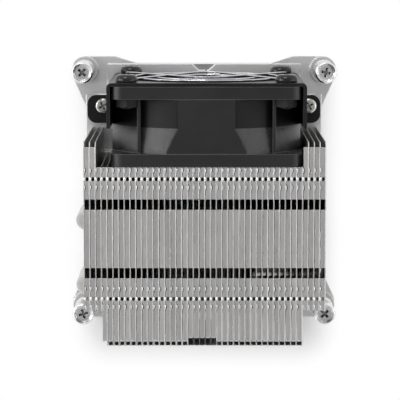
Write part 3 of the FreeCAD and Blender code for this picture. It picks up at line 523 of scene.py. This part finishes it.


# The fin metal's edges are painted nearly white along the bends and cut edges: a painted
# highlight.
fin_aluminium = finish("rolled_aluminium", (0.69, 0.68, 0.665), 0.88, shade=0.8, Roughness=0.33,
                       Roughness_Spread=0.14, Grain_Scale=5000.0, Grain_Stretch=(1.0, 0.05, 0.05),
                       Grain_Depth=0.000006, Patch_Scale=420.0, Patch_Stretch=(1.0, 0.03, 0.03),
                       Edge_Radius=0.00012, Edge_Brightness=0.9)
# The pressed tabs and the rims of the pierced holes are a lighter copy of the fin metal: a
# painted highlight on the bumps.
tab_painted_highlight = finish("pressed_tabs", (0.95, 0.95, 0.95), 0.8, shade=0.9, Roughness=0.22,
                   Grain_Scale=6000.0, Grain_Depth=0.000003, Patch_Scale=300.0,
                   Edge_Brightness=0.6)
chance = random.Random(11)
for name, first, after in (("left_fins", 0, SIDE_FINS),
                           ("centre_fins", SIDE_FINS, FIN_COUNT - SIDE_FINS),
                           ("right_fins", FIN_COUNT - SIDE_FINS, FIN_COUNT)):
    shape = bmesh.new()
    for number in range(first, after):
        add_fin(shape, number, chance)
    add_solid("folded_" + name, shape, [fin_aluminium, tab_painted_highlight], "fin_aluminium", "heatsink",
              name)

# ---------------------------------------- fan housing
# A glass-filled black moulding with a fine spark-eroded texture: two square flanges, a duct
# that flares towards the outlet, ribs beside the screws, and four struts with the motor mount.
# The flare is painted lighter (painted light) and the straight duct darker (painted shade).


def turned_solid(shape, profile, steps, closed=False, clamp=None):
    """Turn (radius, height) pairs about the z axis; closed joins the last pair to the first,
    and clamp is how far from the axis a flat side cuts the round off."""
    rings = []
    for radius, height in profile:
        ring = [(0, 0)] if radius < 1e-6 else arc(0, 0, radius, radius, steps=steps)
        if clamp:
            ring = [tuple(max(-clamp, min(clamp, part)) for part in point) for point in ring]
        rings.append([shape.verts.new((x, y, height)) for x, y in ring])
    for low, high in zip(rings, rings[1:]):
        join_rings(shape, low, high)
    if closed:
        join_rings(shape, rings[-1], rings[0])
    return rings


def rounded_rectangle(left, low, right, high, radius, steps):
    """The points of a rectangle's outline with round corners."""
    points = []
    for x, y, start in ((right - radius, high - radius, 0), (left + radius, high - radius, 90),
                        (left + radius, low + radius, 180), (right - radius, low + radius, 270)):
        points += arc(x, y, radius, radius, start, 90, steps)
    return points


black_plastic = finish("black_moulding", (0.011, 0.0112, 0.012), 0.0, Roughness_Spread=0.14,
                       Grain_Depth=0.00004, Edge_Radius=0.0003, Edge_Brightness=0.14)
# The flare's copy: a coarser spark-eroded grain, which is real, and a lighter colour, which is
# painted light where the lamps fall on the flare.
sparked_lit_plastic = finish("sparked_lit_moulding", (0.058, 0.058, 0.06), 0.0, shade=0.5, Roughness=0.36,
                         Roughness_Spread=0.2, Grain_Scale=3200.0, Grain_Depth=0.00009,
                         Patch_Scale=300.0, Edge_Radius=0.0003)
# The straight duct's copy: duller, which is real, and darker, which is painted shade where the
# bracket's side keeps the light off.
dull_shaded_plastic = finish("dull_shaded_moulding", (0.009, 0.009, 0.0095), 0.0, specular=0.2, Roughness=0.5,
                      Grain_Depth=0.00004, Edge_Radius=0.0003, Edge_Brightness=0.14)
outlet_low, outlet_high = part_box("fan_outlet")
fan_frame = (Matrix.Translation(((outlet_low[0] + outlet_high[0]) / 2 / MM, outlet_low[1] / MM,
                                 (outlet_low[2] + outlet_high[2]) / 2 / MM))
             @ Matrix.Rotation(math.radians(-90), 4, "X"))
FAN_HALF, FAN_DEPTH, FLANGE, HOLE_HALF, BORE = 30.0, 25.0, 4.0, 25.0, 29.0
CORNERS = ((1, 1), (-1, 1), (-1, -1), (1, -1))
SCREW_HOLE, DUCT_LEAST, FLARE_END, SKIN, OVERLAP = 2.15, 31.25, 12.0, 0.02, 0.1
RIB_SIDES, RIB_ENDS = (20.7, 21.7), (21.7, 26.4)
STRUT_START, STRUT_LENGTH = 14.6, 14.8


def fan_housing():
    """Flanges, duct, ribs, motor mount and struts, built on the outlet's plane."""
    shape = bmesh.new()
    square = rounded_rectangle(-FAN_HALF, -FAN_HALF, FAN_HALF, FAN_HALF, 4.0, 8)
    holes = [arc(x * HOLE_HALF, y * HOLE_HALF, SCREW_HOLE, SCREW_HOLE, steps=24)
             for x, y in CORNERS]
    bore = arc(0, 0, BORE + 0.6, BORE + 0.6, steps=128)
    for low in (0.0, FAN_DEPTH - FLANGE):
        cut_sheet(shape, square, [bore] + holes, Matrix.Translation((0, 0, low)), FLANGE)
    wall = [(BORE + 0.62, 24.96), (BORE + 0.3, 24.85), (BORE + 0.08, 24.5), (BORE, 24.0),
            (BORE, 1.0), (BORE + 0.08, 0.5), (BORE + 0.3, 0.15), (BORE + 0.62, 0.04),
            (BORE + 0.7, 0.04), (BORE + 0.7, 3.9)]
    wall += [(32.5, 3.9)] + [(32.5 - 0.12 * step, 4.6 + 0.74 * step) for step in range(11)]
    wall += [(31.3, 21.1), (BORE + 0.7, 21.1), (BORE + 0.7, 24.96)]
    turned_solid(shape, wall, 480, closed=True, clamp=FAN_HALF - SKIN)
    # Faces of the round duct between the flanges: the flare takes the lighter copy (painted
    # light) and the straight part the darker copy (painted shade).
    for face in shape.faces:
        middle = face.calc_center_median()
        between = FLANGE < middle.z < FAN_DEPTH - FLANGE
        rounded = max(abs(middle.x), abs(middle.y)) < FAN_HALF - 2 * SKIN
        if between and rounded and math.hypot(middle.x, middle.y) > DUCT_LEAST:
            face.material_index = 1 if middle.z < FLARE_END else 2
    rib_foot = Matrix.Translation((0, 0, FLANGE - OVERLAP))
    for x, y in CORNERS:
        left, right = sorted(x * side for side in RIB_SIDES)
        low, high = sorted(y * end for end in RIB_ENDS)
        rib = rounded_rectangle(left, low, right, high, 0.2, 3)
        cut_sheet(shape, rib, [], rib_foot, FAN_DEPTH - 2 * FLANGE + 2 * OVERLAP)
    mount = [(0, 0), (14.5, 0), (14.85, 0.15), (15, 0.5), (15, 1.7), (14.85, 2.05), (14.5, 2.2),
             (4.4, 2.2), (4.0, 2.6), (4.0, 14.3), (3.8, 14.5), (2.92, 14.5), (2.92, 1.1),
             (0, 1.1)]
    turned_solid(shape, mount, 64)
    strut = [(-1.5, 0.35), (-1.15, 0), (1.15, 0), (1.5, 0.35), (1.5, 1.7), (1.0, 2.2),
             (-1.0, 2.2), (-1.5, 1.7)]
    for quarter in range(4):
        turn = Matrix.Rotation(math.radians(90 * quarter), 4, "Z")
        cut_sheet(shape, strut, [], turn @ upright_plane(STRUT_START), STRUT_LENGTH)
    shape.transform(fan_frame)
    return shape


add_solid("fan_housing", fan_housing(), [black_plastic, sparked_lit_plastic, dull_shaded_plastic],
          "black_plastic", "heatsink", "fan_outlet", "fan_duct", "fan_inlet")

# ---------------------------------------- impeller and motor
# A moulded hub with seven blades that thin out to their edges. Under it a steel yoke with a
# magnet ring turns round the wound stator on its green board.
BLADES, HUB_RADIUS, TIP_RADIUS, ROOT_DEPTH = 7, 16.0, 28.2, 0.5
CHORDS, SPANS = 14, 8
CHORD_START, CHORD_ACROSS, CHORD_LOW, CHORD_RISE, CAMBER = -8.95, 16, 5.8, 15.7, 1.6
EDGE_HALF, BULGE_HALF, BULGE_ROUND, TIP_THINNER = 0.22, 0.62, 0.6, 0.3


def impeller():
    """The hub with its shaft seat, and the blades as rings of points from root to tip."""
    shape = bmesh.new()
    hub = [(0, 22.95), (12.4, 22.95), (12.7, 23.2), (14.9, 23.2), (15.5, 23.05), (15.88, 22.65),
           (HUB_RADIUS, 22.1), (HUB_RADIUS, 4.6), (14.8, 4.6), (14.8, 22.0), (3.0, 22.0),
           (3.0, 18.2), (1.52, 18.2), (1.52, 22.0), (0, 22.0)]
    turned_solid(shape, hub, 96)
    for blade in range(BLADES):
        turn = Matrix.Rotation(math.tau * blade / BLADES, 4, "Z")
        rings = []
        for span in range(SPANS + 1):
            radius = HUB_RADIUS - ROOT_DEPTH
            radius += (TIP_RADIUS - HUB_RADIUS + ROOT_DEPTH) * span / SPANS
            ring = []
            for face in (1, -1):
                for step in range(CHORDS + 1):
                    part = step / CHORDS if face > 0 else 1 - step / CHORDS
                    bow = CAMBER * 4 * part * (1 - part)
                    thick = EDGE_HALF + BULGE_HALF * math.sin(math.pi * part) ** BULGE_ROUND
                    y = CHORD_START + CHORD_ACROSS * part + bow
                    y += face * thick * (1.0 - TIP_THINNER * span / SPANS)
                    z = CHORD_LOW + CHORD_RISE * part - bow
                    if 0 < step < CHORDS or face > 0:
                        x = math.sqrt(radius ** 2 - y ** 2)
                        ring.append(shape.verts.new(turn @ Vector((x, y, z))))
            rings.append(ring)
        for low, high in zip(rings, rings[1:]):
            join_rings(shape, low, high)
        shape.faces.new(rings[0][::-1])
        shape.faces.new(rings[-1])
    shape.transform(fan_frame)
    return shape


steel = finish("plain_steel", (0.62, 0.62, 0.63), 1.0, Roughness=0.3, Roughness_Spread=0.12,
               Grain_Scale=3000.0, Grain_Stretch=(1, 1, 0.1), Grain_Depth=0.000005,
               Patch_Scale=100.0, Edge_Radius=0.00008, Edge_Brightness=0.3)
magnet = finish("magnet_rubber", (0.10, 0.095, 0.095), 0.0, Roughness=0.65, Grain_Scale=6000.0,
                Patch_Scale=120.0)
bronze = finish("sintered_bronze", (0.62, 0.42, 0.24), 1.0, Roughness=0.42, Roughness_Spread=0.15,
                Grain_Scale=9000.0, Patch_Scale=200.0, Edge_Brightness=0.2)
board_green = finish("circuit_board", (0.03, 0.18, 0.08), 0.0, Roughness=0.35, Grain_Scale=2500.0,
                     Grain_Depth=0.000005, Patch_Scale=300.0)
winding = finish("enamelled_wire", (0.72, 0.33, 0.17), 1.0, Roughness=0.2, Grain_Scale=1800.0,
                 Grain_Stretch=(1, 1, 8), Grain_Depth=0.00003, Patch_Scale=200.0)
blade_plastic = finish("blade_moulding", (0.008, 0.008, 0.0085), 0.0, specular=0.25,
                       Roughness=0.45, Edge_Radius=0.00015, Edge_Brightness=0.05)
add_solid("bladed_impeller", impeller(), [blade_plastic], "black_plastic", "fan_rotor",
          "impeller")
dress("rotor_yoke", steel)
dress("rotor_magnet", magnet)
dress("fan_shaft", steel)
dress("shaft_clip", steel)
dress("shaft_bearing", bronze)
dress("circuit_board", board_green)
dress("stator_core", steel)
dress("stator_coils", winding)

# ---------------------------------------- bracket
# One folded steel sheet with a black coat that is slightly uneven, like orange peel, and
# two plated pan-head screws that hold its feet on the casting.
black_coat = finish("black_coat", (0.018, 0.018, 0.02), 0.0, specular=0.15, Roughness=0.36,
                    Grain_Scale=1500.0, Grain_Depth=0.00002, Patch_Scale=60.0, Edge_Radius=0.0003,
                    Edge_Brightness=0.05)
dress("fan_bracket", black_coat)


def cross_recess(shape, rim, height, reach, width, depth):
    """Close a ring of points by a flat face with a cross-shaped recess that narrows down."""
    def cross(far, half, level):
        quarter = [(half, half), (half, far), (-half, far)]
        points = []
        for c, s in ((1, 0), (0, 1), (-1, 0), (0, -1)):
            points += [(x * c - y * s, x * s + y * c) for x, y in quarter]
        kept = [p for k, p in enumerate(points) if p != points[k - 1]]
        return [shape.verts.new((x, y, level)) for x, y in kept]

    top, foot = cross(reach, width / 2, height), cross(reach * 0.5, width * 0.32, height - depth)
    edges = [shape.edges.new(pair) for pair in zip(top, top[1:] + top[:1])]
    ring = [shape.edges.get(pair) for pair in zip(rim, rim[1:] + rim[:1])]
    bmesh.ops.triangle_fill(shape, use_beauty=True, edges=edges + ring)
    # The recess walls and foot take the second material, which is painted shade on the plated
    # screws.
    join_rings(shape, top, foot, 1)
    shape.faces.new(foot).material_index = 1


SCREW_STEPS = 48


def screw(head, shank, drive):
    """A screw along z from the outlines of head and shank; drive is the cross recess's reach,
    width and depth."""
    shape = bmesh.new()
    rings = turned_solid(shape, head + shank, SCREW_STEPS)
    cross_recess(shape, rings[0], head[0][1], *drive)
    return shape


def threaded(radius, root, high, low, pitch=0.7):
    """The outline of a thread, as rings of crests and roots down a shank."""
    points, level = [], high
    while level - pitch > low:
        points += [(root, level - 0.08), (radius, level - pitch * 0.42),
                   (radius, level - pitch * 0.58), (root, level - pitch + 0.08)]
        level -= pitch
    return points + [(root, low + 0.3), (root - 0.3, low), (0, low)]


def placed(shape, place):
    shape.transform(place)
    return shape


def merge(target, source):
    """Move one mesh's faces into another."""
    part = bpy.data.meshes.new("part")
    source.to_mesh(part)
    source.free()
    target.from_mesh(part)
    bpy.data.meshes.remove(part)


zinc = finish("zinc_plating", (0.72, 0.71, 0.67), 1.0, Roughness=0.28, Roughness_Spread=0.12,
              Grain_Scale=3200.0, Grain_Depth=0.000004, Patch_Scale=220.0, Edge_Brightness=0.25)
# Cross recesses are a darker copy of the plating: painted shade in the recess, with its edges
# painted near white as a painted highlight.
recess_painted_shade = finish("recess_painted_shade", (0.36, 0.36, 0.37), 1.0, Roughness=0.3,
                      Roughness_Spread=0.15, Grain_Scale=3000.0, Patch_Scale=200.0,
                      Edge_Radius=0.00015, Edge_Brightness=0.9)
screw_low, screw_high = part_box("bracket_screws")
foot_y = (screw_low[1] + screw_high[1]) / 2 / MM
PAN_RADIUS = 2.55
PAN_HEAD = [(1.75, 6.7), (2.05, 6.66), (2.32, 6.5), (2.5, 6.2), (PAN_RADIUS, 5.8),
            (PAN_RADIUS, 5.2), (2.5, 5.1), (1.45, 5.1)]
foot_screws = bmesh.new()
for foot_x in (screw_low[0] / MM + PAN_RADIUS, screw_high[0] / MM - PAN_RADIUS):
    one = screw(PAN_HEAD, threaded(1.45, 1.15, 4.9, 2.5, 0.5), drive=(1.45, 0.62, 1.1))
    turn = Matrix.Rotation(0.5, 4, "Z")
    merge(foot_screws, placed(one, Matrix.Translation((foot_x, foot_y, 0)) @ turn))
add_solid("foot_screws", foot_screws, [zinc, recess_painted_shade], "bright_steel", "heatsink",
          "bracket_screws")

# ---------------------------------------- wire guard
# Three rings of bright chromed wire under two bent legs and a short spoke that are welded
# across them. The legs' ends step down and curl into eyelets under four black screws.
chrome = finish("chrome_wire", (0.6, 0.6, 0.62), 1.0, Roughness=0.12, Roughness_Spread=0.05,
                Grain_Scale=2500.0, Grain_Depth=0.000001, Patch_Scale=150.0, Edge_Brightness=0.0)
WIRE, WIRE_SIDES, GUARD_BASE = 0.34, 20, 26.1
EYELET, EYELET_TURN, EYELET_STEPS = 2.9, math.radians(318), 24
LEG_X, LEG_Y, LEG_BEND, LEG_STRAIGHT = 3.2, -14.8, 2.6, 3.0
CLIMB, CLIMB_START, CLIMB_RUN = 1.9, 3.2, 2.5
SPOKE_LEVEL, SPOKE_YS = 2.9, (24.1, 20.0, 16.0)
for name, radius in (("inner", 9.5), ("middle", 16.5), ("outer", 23.5)):
    shape = bmesh.new()
    ring = [Vector((x, y, GUARD_BASE + WIRE)) for x, y in arc(0, 0, radius, radius, steps=96)]
    round_wire(shape, ring, WIRE, WIRE_SIDES, closed=True)
    add_solid("wire_ring_" + name, placed(shape, fan_frame), [chrome], "chrome_wire", "heatsink",
              "guard_ring_" + name)


def guard_leg(side):
    """A wire from one eyelet over the fan's face and back to the eyelet beside it."""
    level = GUARD_BASE + WIRE
    far = Vector((HOLE_HALF - LEG_X, HOLE_HALF - LEG_Y))
    lean = math.atan2(-far.y, -far.x) + math.acos(EYELET / far.length)
    loop = []
    for step in range(EYELET_STEPS + 1):
        turn = lean + EYELET_TURN * step / EYELET_STEPS
        loop.append(Vector((HOLE_HALF + EYELET * math.cos(turn),
                            side * (HOLE_HALF + EYELET * math.sin(turn)), level)))
    bends = rounded_path([loop[0], Vector((LEG_X, side * LEG_Y, level)),
                          Vector((-LEG_X, side * LEG_Y, level)),
                          Vector((-loop[0].x, loop[0].y, level))], LEG_BEND, 8)
    straight = (bends[1] - bends[0]).normalized() * LEG_STRAIGHT
    bends.insert(1, bends[0] + straight)
    bends.insert(-1, bends[-1] + Vector((-straight.x, straight.y, 0)))
    other = [Vector((-point.x, point.y, point.z)) for point in loop]
    path = loop[:0:-1] + bends + other[1:]
    for point in path:
        away = math.hypot(abs(point.x) - HOLE_HALF, abs(point.y) - HOLE_HALF) - CLIMB_START
        point.z += CLIMB * WIRE * min(1.0, max(0.0, away / CLIMB_RUN))
    return path


legs = bmesh.new()
for side in (1, -1):
    round_wire(legs, guard_leg(side), WIRE, WIRE_SIDES)
spoke = [Vector((0, y, GUARD_BASE + SPOKE_LEVEL * WIRE)) for y in SPOKE_YS]
round_wire(legs, spoke, WIRE, WIRE_SIDES)
add_solid("wire_legs", placed(legs, fan_frame), [chrome], "chrome_wire", "heatsink",
          "guard_legs")

# ---------------------------------------- guard screws and nuts
# Black-oxide cap screws with a flanged, domed head and a cross recess, and the chamfered
# hexagon nuts that they end in under the fan's flange.
black_steel = finish("black_oxide", (0.012, 0.012, 0.013), 0.0, specular=0.4, Roughness=0.14,
                     Grain_Scale=3500.0, Grain_Depth=0.000012, Patch_Scale=120.0,
                     Edge_Radius=0.0002, Edge_Brightness=0.06)
dull_steel = finish("dull_oxide", (0.014, 0.014, 0.015), 0.0, specular=0.2, Roughness=0.5,
                    Grain_Scale=3500.0, Patch_Scale=120.0, Edge_Radius=0.0002,
                    Edge_Brightness=0.08)
NUT_STEPS, NUT_FACE, NUT_SLOPE = 48, 0.985, 0.58
NUT_FLATS, NUT_HEIGHT, NUT_BORE, NUT_LOW = 6.4, 2.6, 1.92, 18.4
DOMED_HEAD = [(2.3, 28.6), (2.62, 28.52), (2.95, 28.3), (3.25, 27.95), (3.47, 27.5),
              (3.56, 27.0), (3.56, 26.5), (3.5, 26.4), (1.9, 26.4)]


def hexagon_nut():
    """A nut whose corners are turned down to a cone on both faces."""
    shape = bmesh.new()
    half = NUT_FLATS / 2
    flat, edge = half * NUT_FACE, []
    for step in range(NUT_STEPS):
        turn = math.tau * step / NUT_STEPS
        facet = (turn + math.pi / 6) % (math.pi / 3) - math.pi / 6
        wide = half / math.cos(facet)
        edge.append((wide * math.cos(turn), wide * math.sin(turn), NUT_SLOPE * (wide - flat)))
    bore = arc(0, 0, NUT_BORE, NUT_BORE, steps=NUT_STEPS)
    face = arc(0, 0, flat, flat, steps=NUT_STEPS)
    rings = [[shape.verts.new((x, y, 0)) for x, y in bore],
             [shape.verts.new((x, y, 0)) for x, y in face],
             [shape.verts.new((x, y, drop)) for x, y, drop in edge],
             [shape.verts.new((x, y, NUT_HEIGHT - drop)) for x, y, drop in edge],
             [shape.verts.new((x, y, NUT_HEIGHT)) for x, y in face],
             [shape.verts.new((x, y, NUT_HEIGHT)) for x, y in bore]]
    for low, high in zip(rings, rings[1:] + rings[:1]):
        join_rings(shape, low, high)
    return shape


cap_screws, nuts = bmesh.new(), bmesh.new()
for order, (x, y) in enumerate(CORNERS):
    place = Matrix.Translation((x * HOLE_HALF, y * HOLE_HALF, 0))
    one = screw(DOMED_HEAD, threaded(1.9, 1.55, 26.2, 17.8), drive=(2.1, 0.85, 1.3))
    merge(cap_screws, placed(one, fan_frame @ place @ Matrix.Rotation(0.4 + order, 4, "Z")))
    raised = Matrix.Translation((0, 0, NUT_LOW))
    merge(nuts, placed(hexagon_nut(), fan_frame @ raised @ place))
add_solid("cap_screws", cap_screws, [black_steel, black_steel], "black_steel", "heatsink",
          "guard_screws")
add_solid("hexagon_nuts", nuts, [dull_steel], "black_steel", "heatsink", "guard_nuts")

# ---------------------------------------- captive screws
# Four plated screws whose cup-shaped head hides most of a spring. A snap ring under each ear
# keeps the screw in the casting.
bright_steel = finish("bright_plating", (0.88, 0.88, 0.88), 1.0, Roughness=0.28,
                      Roughness_Spread=0.08, Grain_Scale=2500.0, Grain_Stretch=(1, 1, 0.1),
                      Grain_Depth=0.000002, Patch_Scale=150.0, Edge_Radius=0.00012,
                      Edge_Brightness=0.2)
CUP_HEAD = [(2.42, 24.3), (2.56, 24.38), (2.7, 24.6), (2.84, 24.86), (2.96, 24.97),
            (3.06, 25.0), (3.16, 24.96), (3.38, 24.78), (3.53, 24.58), (3.6, 24.3), (3.6, 21.6),
            (3.5, 21.4), (3.5, 10.5), (3.6, 10.3), (3.6, 10.1), (3.5, 10.0), (3.1, 10.0),
            (3.0, 10.15), (3.0, 22.6)]
CUP_SHANK = [(2.25, 22.6), (2.25, 2.1), (2.1, 1.95), (1.7, 1.95), (1.7, 1.35), (1.95, 1.3),
             (1.95, 1.0), (1.7, 0.85), (1.85, 0.7), (1.6, 0.5), (1.4, 0.4), (0, 0.4)]
SPRING_LOW, SPRING_HIGH, SPRING_RADIUS, SPRING_WIRE = 5.0, 22.6, 2.65, 0.3
SPRING_TURNS, TURN_STEPS, SPRING_SIDES = 8, 24, 10
CLIP_OUTER, CLIP_INNER, CLIP_GRIP, CLIP_LOW, CLIP_SHEET = 3.4, 2.3, 1.75, 1.4, 0.5
CLIP_STEPS, OUTER_GAP, INNER_GAP, GRIPS, GRIP_HALF = 40, 21, 39, (60, 180, 300), 18


def coil_spring(x, y):
    """A compression spring whose end turns lie flat."""
    rise = (SPRING_HIGH - SPRING_LOW - 6 * SPRING_WIRE) / (SPRING_TURNS - 2)
    path, level = [], SPRING_LOW + SPRING_WIRE
    for step in range(SPRING_TURNS * TURN_STEPS + 1):
        turn = math.tau * step / TURN_STEPS
        path.append(Vector((x + SPRING_RADIUS * math.cos(turn),
                            y + SPRING_RADIUS * math.sin(turn), level)))
        flat = step < TURN_STEPS or step >= (SPRING_TURNS - 1) * TURN_STEPS
        level += (2 * SPRING_WIRE if flat else rise) / TURN_STEPS
    shape = bmesh.new()
    round_wire(shape, path, SPRING_WIRE, SPRING_SIDES)
    return shape


def snap_ring(x, y):
    """A flat ring, open at one side, that grips the screw's groove at three places."""
    outline = arc(0, 0, CLIP_OUTER, CLIP_OUTER, OUTER_GAP, 360 - 2 * OUTER_GAP, CLIP_STEPS)
    for step in range(CLIP_STEPS + 1):
        turn = 360 - INNER_GAP - (360 - 2 * INNER_GAP) * step / CLIP_STEPS
        grips = min(abs(turn - middle) for middle in GRIPS) < GRIP_HALF
        radius = CLIP_GRIP if grips else CLIP_INNER
        outline.append((radius * math.cos(math.radians(turn)),
                        radius * math.sin(math.radians(turn))))
    shape = bmesh.new()
    cut_sheet(shape, outline, [], Matrix.Translation((x, y, CLIP_LOW)), CLIP_SHEET)
    return shape


for corner, (x, y) in enumerate(((-40, 40), (40, 40), (-40, -40), (40, -40)), 1):
    cup = screw(CUP_HEAD, CUP_SHANK, drive=(1.6, 0.85, 1.6))
    turn = Matrix.Rotation(0.35 + 0.5 * corner, 4, "Z")
    add_solid("cup_screw_%d" % corner, placed(cup, Matrix.Translation((x, y, 0)) @ turn),
              [bright_steel, recess_painted_shade], "bright_steel", "screw_%d" % corner,
              "captive_screw_%d" % corner)
    add_solid("snap_ring_%d" % corner, snap_ring(x, y), [steel], "plain_steel",
              "clip_%d" % corner, "screw_clip_%d" % corner)
    coil = add_solid("coil_spring_%d" % corner, coil_spring(x, y), [steel], "plain_steel",
                     "heatsink", "screw_spring_%d" % corner)
    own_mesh(coil)

# ---------------------------------------- studio
# A white table and a pale surround. One soft lamp stands beyond the fan and one at each
# side, and a long low lamp at each side lights the fins' flanks; the left ones are stronger.


def seen_by_rays(tree):
    """One for rays from the camera, from mirrors and through clear things, else zero."""
    rays = add_node(tree, "LightPath")
    seen = rays.outputs["Is Camera Ray"]
    for kind in ("Is Glossy Ray", "Is Transmission Ray"):
        larger = add_node(tree, "Math", operation="MAXIMUM")
        tree.links.new(seen, larger.inputs[0])
        tree.links.new(rays.outputs[kind], larger.inputs[1])
        seen = larger.outputs[0]
    return seen


REACH = 3.0
SHADED_SIDE, SHADED_NEAR, SHADED_FAR = 0.032, 0.048, 0.0414
FADE, FAR_STEEPNESS = 0.016, 16.0


def white_floor():
    """A table that is shaded under the cooler and pure white away from it."""
    mesh = bpy.data.meshes.new("floor")
    mesh.from_pydata([(-REACH, -REACH, 0), (REACH, -REACH, 0), (REACH, REACH, 0),
                      (-REACH, REACH, 0)], [], [(0, 1, 2, 3)])
    floor = bpy.data.objects.new("floor", mesh)
    bpy.context.scene.collection.objects.link(floor)
    material, tree, shader = new_material("white_table")
    socket_values(shader, Roughness=0.6, Base_Color=(0.93, 0.93, 0.93, 1))
    link = tree.links.new
    place = add_node(tree, "TexCoord")
    parts = add_node(tree, "SeparateXYZ")
    link(place.outputs["Object"], parts.inputs["Vector"])
    outside = add_node(tree, "CombineXYZ")
    for axis, sides in (("X", ((1.0, SHADED_SIDE), (-1.0, SHADED_SIDE))),
                        ("Y", ((FAR_STEEPNESS, SHADED_FAR), (-1.0, SHADED_NEAR)))):
        farthest = None
        for slope, edge in sides:
            past = add_node(tree, "Math", operation="MULTIPLY_ADD")
            past.inputs[1].default_value = slope
            past.inputs[2].default_value = -abs(slope) * edge
            link(parts.outputs[axis], past.inputs[0])
            larger = add_node(tree, "Math", operation="MAXIMUM")
            larger.inputs[1].default_value = 0.0
            link(past.outputs[0], larger.inputs[0])
            if farthest:
                link(farthest, larger.inputs[1])
            farthest = larger.outputs[0]
        link(farthest, outside.inputs[axis])
    distance = add_node(tree, "VectorMath", operation="LENGTH")
    link(outside.outputs["Vector"], distance.inputs[0])
    away = add_node(tree, "MapRange", interpolation_type="SMOOTHSTEP")
    socket_values(away, From_Min=0.0, From_Max=FADE)
    link(distance.outputs["Value"], away.inputs["Value"])
    white = add_node(tree, "Emission")
    mix = add_node(tree, "MixShader")
    amount = add_node(tree, "Math", operation="MULTIPLY")
    link(away.outputs["Result"], amount.inputs[0])
    link(seen_by_rays(tree), amount.inputs[1])
    link(amount.outputs[0], mix.inputs["Fac"])
    link(shader.outputs["BSDF"], mix.inputs[1])
    link(white.outputs["Emission"], mix.inputs[2])
    link(mix.outputs["Shader"], tree.nodes["Material Output"].inputs["Surface"])
    mesh.materials.append(material)


def soft_lamp(name, place, aim, width, height, power):
    lamp = bpy.data.lights.new(name, "AREA")
    lamp.shape = "RECTANGLE"
    lamp.size, lamp.size_y = width, height
    lamp.energy = power
    holder = bpy.data.objects.new(name, lamp)
    holder.location = place
    holder.rotation_euler = (Vector(aim) - Vector(place)).to_track_quat("-Z", "Y").to_euler()
    bpy.context.scene.collection.objects.link(holder)


def surround():
    """A sky that is white at the horizon and grey overhead, in what is seen and mirrored."""
    world = bpy.data.worlds.new("surround")
    bpy.context.scene.world = world
    world.use_nodes = True
    tree = world.node_tree
    link = tree.links.new
    background = tree.nodes["Background"]
    place = add_node(tree, "TexCoord")
    parts = add_node(tree, "SeparateXYZ")
    link(place.outputs["Generated"], parts.inputs["Vector"])
    ramp = add_node(tree, "ValToRGB")
    stops = ramp.color_ramp.elements
    stops[0].position, stops[0].color = 0.35, (1, 1, 1, 1)
    stops[1].position, stops[1].color = 0.95, (0.42, 0.42, 0.43, 1)
    link(parts.outputs["Z"], ramp.inputs["Fac"])
    level = add_node(tree, "MapRange")
    socket_values(level, To_Min=0.95, To_Max=1.0)
    link(seen_by_rays(tree), level.inputs["Value"])
    link(ramp.outputs["Color"], background.inputs["Color"])
    link(level.outputs["Result"], background.inputs["Strength"])


def camera():
    """A long lens nearly straight above the cooler, a little towards the fan."""
    lens = bpy.data.cameras.new("camera")
    lens.lens = 199.7
    lens.sensor_width = 36.0
    lens.clip_start, lens.clip_end = 0.01, 20.0
    holder = bpy.data.objects.new("camera", lens)
    holder.location = (-0.00185, 0.08056, 0.75116)
    aim = Vector((-0.00133, -0.00019, 0.04))
    back = (holder.location - aim).normalized()
    right = Vector((0, 1, 0)).cross(back).normalized()
    turn = Matrix((right, back.cross(right), back)).transposed()
    holder.rotation_euler = turn.to_euler()
    bpy.context.scene.collection.objects.link(holder)
    bpy.context.scene.camera = holder


white_floor()
ABOVE_BASE = (0, 0, 0.03)
soft_lamp("lamp_beyond", (-0.25, 0.85, 0.7), ABOVE_BASE, 0.5, 0.25, 2.8)
soft_lamp("lamp_left", (-0.8, 0.15, 0.5), ABOVE_BASE, 0.3, 0.6, 2.5)
soft_lamp("lamp_right", (0.8, 0.05, 0.5), ABOVE_BASE, 0.3, 0.6, 0.8)
soft_lamp("lamp_low_left", (-0.8, -0.03, 0.2), (-0.02, 0.02, 0.055), 1.4, 0.36, 1.5)
soft_lamp("lamp_low_right", (0.8, -0.03, 0.2), (0.02, 0.02, 0.055), 0.9, 0.3, 0.3)
surround()
camera()
